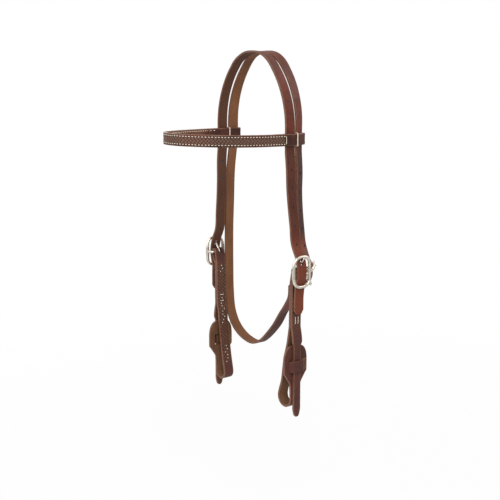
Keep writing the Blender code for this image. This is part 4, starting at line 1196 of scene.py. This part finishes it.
print("shapes ready")

# Materials
perMetre = 1000.0  # millimetres


def linear(colour):
    parts = [int(colour[i : i + 2], 16) / 255 for i in (1, 3, 5)]
    return tuple(c / 12.92 if c <= 0.04045 else ((c + 0.055) / 1.055) ** 2.4 for c in parts)


def add(tree, kind, settings=None, links=None):
    made = tree.nodes.new(kind)
    for key, value in (settings or {}).items():
        if isinstance(key, str) and hasattr(made, key):
            setattr(made, key, value)
        else:
            made.inputs[key].default_value = value
    for key, source in (links or {}).items():
        tree.links.new(source, made.inputs[key])
    return made


def fed(tree, node, values):
    for key, value in values.items():
        if isinstance(value, str):
            value = linear(value)
        if isinstance(value, tuple):
            node.inputs[key].default_value = (*value, 1.0)
        elif isinstance(value, (int, float)):
            node.inputs[key].default_value = value
        elif value is not None:
            tree.links.new(value, node.inputs[key])
    return node


def maths(tree, operation, first, second=None):
    return fed(tree, add(tree, "ShaderNodeMath", {"operation": operation}), {0: first, 1: second}).outputs[0]


def times(tree, first, second):
    return maths(tree, "MULTIPLY", first, second)


def mixed(tree, share, first, second):
    made = add(tree, "ShaderNodeMix", {"data_type": "RGBA"})
    return fed(tree, made, {0: share, 6: first, 7: second}).outputs[2]


def split(tree, source):
    return add(tree, "ShaderNodeSeparateXYZ", None, {0: source}).outputs


def layer(tree, name):
    return split(tree, add(tree, "ShaderNodeUVMap", {"uv_map": name}).outputs[0])


def newMaterial(name, values):
    made = bpy.data.materials.new(name)
    made.use_nodes = True
    tree = made.node_tree
    shader = fed(tree, tree.nodes["Principled BSDF"], values)
    return made, tree, shader, add(tree, "ShaderNodeTexCoord").outputs["Object"]


def noise(tree, where, millimetres, detail=3.0, rough=0.55):
    settings = {"Scale": perMetre / millimetres, "Detail": detail, "Roughness": rough}
    return add(tree, "ShaderNodeTexNoise", settings, {"Vector": where}).outputs["Fac"]


def spread(tree, value, low, high, to=(0.0, 1.0)):
    made = add(tree, "ShaderNodeMapRange", {1: low, 2: high, 3: to[0], 4: to[1]}, {0: value})
    return made.outputs[0]


def speckle(tree, where, millimetres, detail, low, high, to=(0.0, 1.0)):
    return spread(tree, noise(tree, where, millimetres, detail), low, high, to)


def bump(tree, shader, height, distance, strength=1.0, before=None):
    links = {"Height": height}
    if before:
        links["Normal"] = before
    made = add(tree, "ShaderNodeBump", {"Strength": strength, "Distance": distance}, links)
    return toShader(tree, shader, "Normal", made.outputs["Normal"])


def toShader(tree, shader, socket, value):
    tree.links.new(value, shader.inputs[socket])
    return value


def legTones(tree, where, colour, finish):
    tones = finish["tones"]
    spot = split(tree, where)
    paintedLight = spread(tree, spot[2], *tones["billetLight"])
    colour = mixed(tree, paintedLight, colour, finish["warm"])  # painted light: the billets low on the legs are painted lighter and warmer
    paintedShade = times(tree, spread(tree, spot[2], *tones["shadeTop"]), spread(tree, spot[2], *tones["shadeFoot"]))
    paintedShade = times(tree, paintedShade, spread(tree, spot[1], *tones["shadeRear"]))
    colour = mixed(tree, paintedShade, colour, finish["shaded"])  # painted shade darkens the legs from the browband down over the hole rows, more on the rear legs
    # painted shade: the throat strap's run below the throat buckle is darker
    return mixed(tree, spread(tree, spot[2], *tones["throat"]), colour, finish["shaded"])


def edgeCrease(tree, shader, fromEdge, colour, finish, before):
    away = maths(tree, "ABSOLUTE", maths(tree, "SUBTRACT", fromEdge, finish["crease"]))
    line = spread(tree, away, 0.0, grain["creaseHalf"], (1.0, 0.0))
    colour = mixed(tree, times(tree, line, grain["creaseShare"]), colour, finish["deep"])
    return colour, bump(tree, shader, maths(tree, "SUBTRACT", 1.0, line), *grain["creaseBump"], before)


def stampedZone(tree, where, zones):
    spot = split(tree, where)
    total = None
    for limits in zones:
        inside = None
        for axis, outer, inner in limits:
            part = spread(tree, spot[axis], outer, inner)
            inside = times(tree, inside, part) if inside else part
        total = maths(tree, "MAXIMUM", total, inside) if total else inside
    return total


def basketWeave(tree, shader, where, colour, finish, before):
    stamp = finish["stamp"]
    along, across = layer(tree, "laid")[:2]
    slants = [maths(tree, how, along, across) for how in ("ADD", "SUBTRACT")]
    ways = [maths(tree, "DIVIDE", slant, stamp["pitch"]) for slant in slants]
    cell = maths(tree, "ADD", maths(tree, "FLOOR", ways[0]), maths(tree, "FLOOR", ways[1]))
    parity = maths(tree, "ABSOLUTE", maths(tree, "MODULO", cell, 2.0))
    waves = [maths(tree, "SINE", times(tree, maths(tree, "FRACT", way), math.pi)) for way in ways]
    weave = add(tree, "ShaderNodeMix", None, {0: parity, 2: waves[0], 3: waves[1]}).outputs[0]
    weave = maths(tree, "POWER", weave, stamp["crisp"])
    border = (stamp["half"] - stamp["border"], stamp["half"], (1.0, 0.0))
    inside = spread(tree, maths(tree, "ABSOLUTE", across), *border)
    inside = times(tree, inside, stampedZone(tree, where, stamp["zones"]))
    sunk = times(tree, inside, maths(tree, "SUBTRACT", 1.0, weave))
    colour = mixed(tree, times(tree, sunk, stamp["sunk"]), colour, stamp["pressed"])
    raised = times(tree, times(tree, inside, weave), stamp["lift"])
    colour = mixed(tree, raised, colour, finish["rubbed"])
    return colour, bump(tree, shader, maths(tree, "SUBTRACT", 1.0, sunk), stamp["depth"], 1.0, before)


# Noise as millimetres, detail, then low and high or its roughness; bumps as depth and strength
grain = {
    "patches": (38.0, 2.0, 0.35, 0.68),
    "mottle": (5.0, 4.0, 0.3, 0.75),
    "mottleShare": 0.45,
    "worn": (9.0, 3.0, 0.3, 0.7),
    "wornFrom": (0.0002, 0.0016, (1.0, 0.0)),  # distance from the edge
    "sheen": (12.0, 3.0, 0.3, 0.7),
    "sheenRange": (-0.06, 0.10),
    "poreMillimetres": 0.75,
    "creases": (1.9, 5.0, 0.7),
    "bump": (0.00010, 0.55),
    "creaseHalf": 0.00035,
    "creaseBump": (0.00022, 0.8),
    "poreSpan": (0.0, 0.6),
    "poreShare": 0.5,
    "creaseShare": 0.5,
    "shine": {"Specular IOR Level": 0.22, "Coat Roughness": 0.32},
}
flesh = {
    "shine": {"Roughness": 0.78, "Specular IOR Level": 0.25},
    "fibres": (1.3, 6.0, 0.75),
    "patches": (30.0, 3.0, 0.32, 0.7),
    "fibreSpan": (0.35, 0.75, (0.0, 0.22)),
    "shadeSpan": (-0.0012, 0.0004, (1.0, 0.0)),
    "shadeShare": 0.85,
    "bump": (0.00022, 0.7),
}
rim = {
    "shine": {"Roughness": 0.46},
    "layers": (2.4, 4.0, 0.6),
    "span": (0.3, 0.7),
    "fine": (0.7, 4.0, 0.6),
    "bump": (0.00008, 0.5),
}
metal = {
    "haze": (3.0, 4.0, 0.3, 0.7),
    "hazeRange": (-0.03, 0.07),
    "tint": (7.0, 2.0, 0.3, 0.7),
    "tinted": "#c8bfb1",
    "fine": (0.5, 3.0),
    "bump": (0.00002, 0.25),
}
twine = {
    "shine": {"Roughness": 0.62, "Sheen Weight": 0.25},
    "fuzz": (0.45, 4.0, 0.7),
    "span": (0.35, 0.7),
    "bump": (0.00012, 0.7),
}


def makeGrain(name, finish):
    rough = finish["roughness"]
    values = dict(grain["shine"], **{"Roughness": rough, "Coat Weight": finish["coat"]})
    made, tree, shader, where = newMaterial(name, values)
    fromEdge = layer(tree, "inward")[0]
    colour = mixed(tree, speckle(tree, where, *grain["patches"]), finish["colour"], finish["deep"])
    mottle = speckle(tree, where, *grain["mottle"])
    colour = mixed(tree, times(tree, mottle, grain["mottleShare"]), colour, finish["warm"])
    # painted light on the billets, painted shade higher on the legs and on the throat strap's run
    if finish["tones"]:
        colour = legTones(tree, where, colour, finish)
    rubbed = spread(tree, fromEdge, *grain["wornFrom"])  # wear along the edges
    worn = times(tree, rubbed, speckle(tree, where, *grain["worn"]))
    colour = mixed(tree, times(tree, worn, finish["wear"]), colour, finish["rubbed"])
    settings = {"Scale": perMetre / grain["poreMillimetres"], "Randomness": 1.0}
    pores = add(tree, "ShaderNodeTexVoronoi", settings, {"Vector": where})
    fine = spread(tree, pores.outputs["Distance"], *grain["poreSpan"])
    height = maths(tree, "ADD", times(tree, fine, grain["poreShare"]), noise(tree, where, *grain["creases"]))
    before = bump(tree, shader, height, *grain["bump"])
    if finish["crease"]:
        colour, before = edgeCrease(tree, shader, fromEdge, colour, finish, before)
    if finish["stamp"]:
        colour, before = basketWeave(tree, shader, where, colour, finish, before)
    toShader(tree, shader, "Base Color", colour)
    sheen = tuple(rough + change for change in grain["sheenRange"])
    toShader(tree, shader, "Roughness", speckle(tree, where, *grain["sheen"], sheen))
    return made


def makeFlesh(name, finish):
    made, tree, shader, where = newMaterial(name, flesh["shine"])
    fibres = noise(tree, where, *flesh["fibres"])
    colour = mixed(tree, speckle(tree, where, *flesh["patches"]), finish["flesh"], finish["fleshDeep"])
    colour = mixed(tree, spread(tree, fibres, *flesh["fibreSpan"]), colour, finish["rubbed"])
    if finish["fleshFront"]:  # painted shade: the flesh side of the cheek legs is darker
        front = spread(tree, split(tree, where)[1], *flesh["shadeSpan"])
        colour = mixed(tree, times(tree, front, flesh["shadeShare"]), colour, finish["fleshFront"])
    toShader(tree, shader, "Base Color", colour)
    bump(tree, shader, fibres, *flesh["bump"])
    return made


def makeRim(name, finish):
    made, tree, shader, where = newMaterial(name, rim["shine"])
    layers = spread(tree, noise(tree, where, *rim["layers"]), *rim["span"])
    toShader(tree, shader, "Base Color", mixed(tree, layers, finish["rim"], finish["rimDeep"]))
    bump(tree, shader, noise(tree, where, *rim["fine"]), *rim["bump"])
    return made


def makeSteel(name, colour, roughness):
    made, tree, shader, where = newMaterial(name, {"Roughness": roughness, "Metallic": 1.0})
    hazy = tuple(roughness + change for change in metal["hazeRange"])
    toShader(tree, shader, "Roughness", speckle(tree, where, *metal["haze"], hazy))
    tint = mixed(tree, speckle(tree, where, *metal["tint"]), colour, metal["tinted"])
    toShader(tree, shader, "Base Color", tint)
    bump(tree, shader, noise(tree, where, *metal["fine"]), *metal["bump"])
    return made


def makeThread(name, colour, deep):
    made, tree, shader, where = newMaterial(name, twine["shine"])
    fuzz = noise(tree, where, *twine["fuzz"])
    toShader(tree, shader, "Base Color", mixed(tree, spread(tree, fuzz, *twine["span"]), colour, deep))
    bump(tree, shader, fuzz, *twine["bump"])
    return made


# Finishes by piece; heights and zones are measured from the origin under the crown
chestnut = {
    "colour": "#622c1e",
    "deep": "#432017",
    "warm": "#783b26",
    "rubbed": "#a87750",
    "shaded": "#3f251d",
    "flesh": "#7b5034",
    "fleshDeep": "#664028",
    # painted shade for the flesh side of the cheek legs
    "fleshFront": "#4d3024",
    "rim": "#7d5239",
    "rimDeep": "#553526",
    "roughness": 0.55,
    "coat": 0.04,
    "wear": 0.55,
    "crease": 0.0017,
    "stamp": None,
    "tones": {  # from and to a height, then the shares there
        # painted light on the billets below this height
        "billetLight": (-0.242, -0.262, (0.0, 0.6)),
        # painted shade on the legs between these heights, stronger on the rear legs
        "shadeTop": (-0.112, -0.134),
        "shadeFoot": (-0.256, -0.236),
        "shadeRear": (0.0, 0.004, (0.5, 0.85)),
        # painted shade on the throat strap's run below this height
        "throat": (-0.352, -0.372, (0.0, 0.85)),
    },
}
bitBrown = dict(chestnut, colour="#55302a", deep="#37201c", warm="#643629", tones=None, fleshFront=None)
bitBrown.update(flesh="#6f4d35", fleshDeep="#523727", rim="#835740", rimDeep="#5c3629")
bitBrown["stamp"] = {
    "pitch": 0.0054,
    "half": 0.0070,
    "border": 0.0002,
    "zones": [  # axis, outer limit, where the pattern is full
        [(0, 0.0, -0.002), (2, -0.460, -0.452), (2, -0.304, -0.312)],
        [(0, 0.0, 0.002), (2, -0.386, -0.352), (2, -0.334, -0.360)],
    ],
    "depth": 0.0009,
    "pressed": "#1d0f0b",
    "sunk": 1.0,
    "lift": 0.22,
    "crisp": 1.1,
}
tooled = dict(chestnut, colour="#502a20", deep="#24130d", warm="#5e3327", rubbed="#b08a74", crease=None)
tooled.update(fleshFront=None, flesh="#7a4a30", fleshDeep="#5c3725", rim="#8a5c40", rimDeep="#66402c")
tooled["stamp"] = {
    "pitch": 0.0048,
    "half": 0.0044,
    "border": 0.0002,
    "zones": [
        [(1, -0.0212, -0.0226), (0, browOut - 0.0042, browOut - 0.0030)],
        [(1, -0.0212, -0.0226), (0, 0.0042 - browOut, 0.0030 - browOut)],
        [(1, -0.0350, -0.0362)],
    ],
    "depth": 0.0009,
    "pressed": "#24130d",
    "sunk": 0.9,
    "lift": 0.32,
    "crisp": 1.0,
}
liningFinish = dict(tooled, colour="#6b4230", deep="#4a2c20", warm="#7a4d36", stamp=None)
# the walls of the punched holes are painted near black as painted shade inside the holes
holeShade = makeRim("punched_hole_shade", dict(chestnut, rim="#2b1812", rimDeep="#1c100c"))


def leatherSet(name, finish, grainName):
    inner, cut = makeFlesh(name + "_flesh", finish), makeRim(name + "_edge", finish)
    return [makeGrain(grainName, finish), inner, cut, holeShade]


crownLeather = leatherSet("chestnut", chestnut, "chestnut_grain")
bitLeather = leatherSet("bit", bitBrown, "bit_grain")
browLeather = leatherSet("brow", tooled, "stamped_grain")
liningLeather = leatherSet("lining", liningFinish, "lining_grain")
steel = makeSteel("polished_steel", "#e3dacb", 0.3)
tongueSteel = makeSteel("tongue_steel_wire", "#e0d8ca", 0.24)
waxed = makeThread("cream_waxed_thread", "#f0e8d6", "#d3c5a8")
brownThread = makeThread("brown_waxed_thread", "#4a2a20", "#33190f")
lace = makeThread("rawhide_lace", "#efe4d4", "#cbb79d")
print("materials ready")


# Pieces
def takesOver(made, nodeName, body):
    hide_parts(nodeName)
    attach(made, body)


takesOver(buildCrown(crownLeather), "crown", "headpiece")
print("crown made")
for which, side in (("near", 1), ("off", -1)):
    place = cheekPlace(side)
    bit = which + "_bit"
    takesOver(buildBitEnd(bit + "_strap", side, bitLeather), bit + "_end", bit)
    takesOver(bitTack(bit + "_tack", side, waxed), bit + "_thread", bit)
    frameMade = buckleFrame(which + "_buckle_frame", cheek, place, steel)
    takesOver(frameMade, which + "_cheek_buckle", "headpiece")
    tongueMade = tongueWire(which + "_tongue_wire", cheek, place, tongueSteel)
    takesOver(tongueMade, which + "_cheek_tongue", which + "_tongue")
    takesOver(loopThread(which + "_loop_tack", side, waxed), which + "_loop_thread", "brow")
    takesOver(loopTie(which + "_loop_lace", side, lace), which + "_loop_tie", "brow")
place = throatPlace()
frameMade = buckleFrame("throat_buckle_frame", throat, place, steel)
takesOver(frameMade, "throat_buckle", "headpiece")
tongueMade = tongueWire("throat_tongue_bent", throat, place, tongueSteel)
takesOver(tongueMade, "throat_tongue", "throat_tongue_wire")
takesOver(throatTack(waxed), "throat_chape_thread", "headpiece")
browStrap, browBack = buildBrowband(browLeather, liningLeather)
takesOver(browStrap, "browband", "brow")
takesOver(browBack, "browband_lining", "brow")
print("pieces made")

# Stitch rows: pitch, length, width and turn of each kind
stitch = {
    "height": 0.0008,
    "wobble": 4.0,
    "seed": 7,
    "brow": (brow["stitchPitch"], 0.0028, 0.00120),
    "cross": (0.0052, 0.0021, 0.0015, 24.0),
    "ladder": (0.0027, 0.0030, 0.0010, 90.0),
    "rungs": (0.0042, 0.0040, 0.0011, 90.0),
    "ladderSpan": (-0.016, -0.104, 0.0056),  # from, to and how far off the middle
    "rungsSpan": (-0.030, -0.070, -0.0052),
    "crossings": ((-0.020, -0.031), (-0.070, -0.108), (-0.143, -0.168)),
    "swing": 0.0024,  # half width of the zigzag
    "wave": 0.0132,  # its length
    "browProud": 0.00025,
    "tailProud": 0.00015,
    "browStart": 0.02,  # in radians past the tack
    "liningStart": 0.0015,
    "tailInset": 0.002,
    "lineSteps": 240,
    "bead": {"Segments": 8, "Rings": 5, "Radius": 0.5},
}


def stitchTree():
    tree = bpy.data.node_groups.new("stitch_row", "GeometryNodeTree")
    face = tree.interface
    face.new_socket("Geometry", in_out="INPUT", socket_type="NodeSocketGeometry")
    sockets = [(label, "Float") for label in ("Pitch", "Length", "Width", "Height", "Turn", "Wobble")]
    for label, kind in (*sockets, ("Seed", "Int"), ("Material", "Material")):
        face.new_socket(label, in_out="INPUT", socket_type="NodeSocket" + kind)
    face.new_socket("Geometry", in_out="OUTPUT", socket_type="NodeSocketGeometry")
    given = tree.nodes.new("NodeGroupInput").outputs

    def node(kind, settings, links):
        return add(tree, kind, settings, links).outputs

    line = node("GeometryNodeMeshToCurve", None, {0: given["Geometry"]})
    pitched = {"Curve": line[0], "Length": given["Pitch"]}
    spaced = node("GeometryNodeResampleCurve", {"mode": "LENGTH"}, pitched)
    tangent = node("GeometryNodeInputTangent", None, None)
    out = node("GeometryNodeInputNamedAttribute", {"data_type": "FLOAT_VECTOR", "Name": "out"}, None)
    axes = {"primary_axis": "X", "secondary_axis": "Z"}
    facing = node("FunctionNodeAxesToRotation", axes, {0: tangent[0], 1: out[0]})
    limits = {2: times(tree, given["Wobble"], -1.0), 3: given["Wobble"], "Seed": given["Seed"]}
    jitter = node("FunctionNodeRandomValue", {"data_type": "FLOAT"}, limits)
    swing = maths(tree, "ADD", given["Turn"], jitter[1])
    about = node("FunctionNodeAxisAngleToRotation", {"Axis": (0.0, 0.0, 1.0)}, {"Angle": swing})
    turned = node("FunctionNodeRotateRotation", {"rotation_space": "LOCAL"}, {0: facing[0], 1: about[0]})
    bead = node("GeometryNodeMeshUVSphere", stitch["bead"], None)
    size = node("ShaderNodeCombineXYZ", None, {0: given["Length"], 1: given["Width"], 2: given["Height"]})
    shaped = node("GeometryNodeTransform", None, {"Geometry": bead[0], "Scale": size[0]})
    sown = {"Points": spaced[0], "Instance": shaped[0], "Rotation": turned[0]}
    placed = node("GeometryNodeInstanceOnPoints", None, sown)
    real = node("GeometryNodeRealizeInstances", None, {0: placed[0]})
    smooth = node("GeometryNodeSetShadeSmooth", None, {0: real[0]})
    dyed = node("GeometryNodeSetMaterial", None, {"Geometry": smooth[0], "Material": given["Material"]})
    tree.links.new(dyed[0], tree.nodes.new("NodeGroupOutput").inputs[0])
    return tree


rowTree = stitchTree()


def stitchRows(name, rows, material, pitch, length, width, turn=0.0):
    mesh = bpy.data.meshes.new(name + "_line")
    edges = []
    start = 0
    for row in rows:
        edges += [(start + k, start + k + 1) for k in range(len(row) - 1)]
        start += len(row)
    mesh.from_pydata([tuple(p) for row in rows for p, _ in row], edges, [])
    outs = mesh.attributes.new("out", "FLOAT_VECTOR", "POINT")
    for k, out in enumerate(o for row in rows for _, o in row):
        outs.data[k].vector = out
    made = linked(name + "_line", mesh)
    sewn = modified(made, "stitches", "NODES", node_group=rowTree)
    values = {
        "Pitch": pitch,
        "Length": length,
        "Width": width,
        "Height": stitch["height"],
        "Turn": math.radians(turn),
        "Wobble": math.radians(stitch["wobble"]),
        "Seed": stitch["seed"],
        "Material": material,
    }
    for item in rowTree.interface.items_tree:
        if item.in_out == "INPUT" and item.name in values:
            sewn[item.identifier] = values[item.name]
    solid = baked(made, name)
    solid.materials.clear()
    solid.materials.append(material)
    bpy.data.objects.remove(made)
    bpy.data.meshes.remove(mesh)
    return linked(name, solid)


def together(name, made):
    bm = bmesh.new()
    joined = bpy.data.meshes.new(name)
    for piece in made:
        bm.from_mesh(piece.data)
        joined.materials.append(piece.data.materials[0])
    start = 0
    faces = list(bm.faces)
    for index, piece in enumerate(made):
        for face in faces[start : start + len(piece.data.polygons)]:
            face.material_index = index
        start += len(piece.data.polygons)
    bm.to_mesh(joined)
    bm.free()
    for piece in made:
        old = piece.data
        bpy.data.objects.remove(piece)
        bpy.data.meshes.remove(old)
    return linked(name, joined)


def browLines(inset, start, end, sign):
    lines = []
    steps = stitch["lineSteps"]
    sewnUp = brow["height"] / 2 - brow["stitchInset"]
    for up in (-sewnUp, sewnUp):
        row = []
        for k in range(steps + 1):
            turn = start + (end - start) * k / steps
            p = ellipsePoint(turn, inset)
            at = browPlace @ Vector((p.x, p.y, browHeight(p) + up))
            row.append((at, ellipseOut(turn) * sign))
        lines.append(row)
    return lines


outside = -leather["brow"] / 2 - stitch["browProud"]
inside = leather["brow"] / 2 + fit["gap"] + leather["lining"]
onTail = tailInset + leather["brow"] / 2 + stitch["tailProud"]
start = ellipseTurn(brow["tack"]) + stitch["browStart"]
hidden = ellipseTurn(brow["tailEnd"] + stitch["liningStart"])
first = ellipseTurn(brow["tack"] + stitch["tailInset"])
last = ellipseTurn(brow["tailEnd"] - stitch["tailInset"])
made = [
    stitchRows("brow_sewing", browLines(outside, start, math.pi - start, 1.0), waxed, *stitch["brow"]),
    stitchRows("lining_sewing", browLines(inside, hidden, math.pi - hidden, -1.0), waxed, *stitch["brow"]),
]
lines = browLines(onTail, first, last, -1.0) + browLines(onTail, math.pi - last, math.pi - first, -1.0)
made.append(stitchRows("tail_sewing", lines, waxed, *stitch["brow"]))
sewing = together("brow_stitches", made)
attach(sewing, "brow")


def layerLine(side, points, span, shift, facing):
    row = []
    high, low, across = span
    place = cheekPlace(side)
    turned = place.to_3x3()
    for p in sorted(points, key=lambda q: -q.z):
        if low <= p.z <= high:
            at = place @ Vector((p.x + shift, side * across, p.z))
            row.append((at, turned @ Vector((facing, 0.0, 0.0))))
    return row


def zigzag(row):
    made = []
    run = 0.0
    for k, (at, out) in enumerate(row):
        run += (at - row[k - 1][0]).length if k else 0.0
        swing = math.sin(math.tau * run / stitch["wave"])
        made.append((at + Vector((0.0, stitch["swing"] * swing, 0.0)), out))
    return made


for which, side in (("near", 1), ("off", -1)):
    front, _, down, _ = bitProfile(side)
    surface = leather["bit"] / 2
    crossed = [zigzag(layerLine(side, down, (*span, 0.0), -surface, -1.0)) for span in stitch["crossings"]]
    ladder = [layerLine(side, down, stitch["ladderSpan"], -surface, -1.0)]
    outer = [layerLine(side, front, stitch["rungsSpan"], surface, 1.0)]
    made = [
        stitchRows(which + "_cross", crossed, waxed, *stitch["cross"]),
        stitchRows(which + "_ladder", ladder, brownThread, *stitch["ladder"]),
        stitchRows(which + "_rungs", outer, brownThread, *stitch["rungs"]),
    ]
    sewing = together(which + "_bit_stitches", made)
    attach(sewing, which + "_bit")
print("stitches made")

# Studio: white ground, soft light
studio = {
    "air": (0.95, 0.96, 1.0, 1.0),
    "airStrength": 0.36,
    "white": (1.0, 1.0, 1.0, 1.0),
    "aim": (0.0, -0.02, -0.25),
    "lights": (  # name, place, size, watts, colour
        ("key", (1.5, -0.9, 1.0), 1.0, 26.0, (1.0, 0.98, 0.95)),
        ("fill", (-0.5, -1.7, 0.35), 1.1, 12.0, (0.96, 0.98, 1.0)),
        ("rear", (0.3, 1.6, 0.9), 1.2, 9.0, (1.0, 1.0, 1.0)),
        ("side", (-1.6, 0.3, 0.3), 1.1, 6.0, (1.0, 0.99, 0.97)),
    ),
    "floorHalf": 40,
    "floorUp": -0.72,
    "floorTone": (0.92, 0.92, 0.92),
    "floorRough": 0.9,
    "fadeSpan": (0.75, 1.6, (0.9, 1.0)),  # the floor turns white away from the object
}
camera = {"place": (1.0563, -0.8654, -0.0113), "azimuth": 51.25, "elevation": 11.0, "lens": 69.8}

world = bpy.data.worlds.new("studio")
bpy.context.scene.world = world
world.use_nodes = True
air = world.node_tree
air.nodes.clear()
rays = add(air, "ShaderNodeLightPath").outputs
soft = add(air, "ShaderNodeBackground", {"Color": studio["air"], "Strength": studio["airStrength"]})
white = add(air, "ShaderNodeBackground", {"Color": studio["white"], "Strength": 1.0})
seen = maths(air, "MAXIMUM", rays["Is Camera Ray"], rays["Is Glossy Ray"])
choose = add(air, "ShaderNodeMixShader", None, {0: seen, 1: soft.outputs[0], 2: white.outputs[0]})
add(air, "ShaderNodeOutputWorld", None, {0: choose.outputs[0]})

for name, at, size, watts, colour in studio["lights"]:
    light = bpy.data.lights.new(name, "AREA")
    light.shape = "DISK"
    light.size = size
    light.energy = watts
    light.color = colour
    lamp = linked(name, light)
    lamp.location = at
    lamp.rotation_euler = (Vector(studio["aim"]) - Vector(at)).to_track_quat("-Z", "Y").to_euler()

floorMesh = bpy.data.meshes.new("floor")
far, low = studio["floorHalf"], studio["floorUp"]
corners = [(-far, -far, low), (far, -far, low), (far, far, low), (-far, far, low)]
floorMesh.from_pydata(corners, [], [(0, 1, 2, 3)])
floorPiece = linked("floor", floorMesh)
pale = bpy.data.materials.new("pale_floor")
pale.use_nodes = True
paint = pale.node_tree
plain = {"Base Color": studio["floorTone"], "Roughness": studio["floorRough"]}
shader = fed(paint, paint.nodes["Principled BSDF"], plain)
rays = add(paint, "ShaderNodeLightPath").outputs
glow = add(paint, "ShaderNodeEmission", {"Color": studio["white"], "Strength": 1.0})
where = add(paint, "ShaderNodeTexCoord").outputs["Object"]
away = add(paint, "ShaderNodeVectorMath", {"operation": "LENGTH"}, {0: where}).outputs["Value"]
share = times(paint, rays["Is Camera Ray"], spread(paint, away, *studio["fadeSpan"]))
choose = add(paint, "ShaderNodeMixShader", None, {0: share, 1: shader.outputs[0], 2: glow.outputs[0]})
toShader(paint, paint.nodes["Material Output"], 0, choose.outputs[0])
floorMesh.materials.append(pale)

lens = bpy.data.cameras.new("photo_camera")
lens.lens = camera["lens"]
lens.clip_start = 0.05
view = linked("photo_camera", lens)
turn, rise = math.radians(camera["azimuth"]), math.radians(camera["elevation"])
back = Vector((math.sin(turn) * math.cos(rise), -math.cos(turn) * math.cos(rise), math.sin(rise)))
view.location = camera["place"]
view.rotation_euler = (-back).to_track_quat("-Z", "Y").to_euler()
bpy.context.scene.camera = view
bpy.context.scene.view_settings.view_transform = "Standard"

print("scene ready")
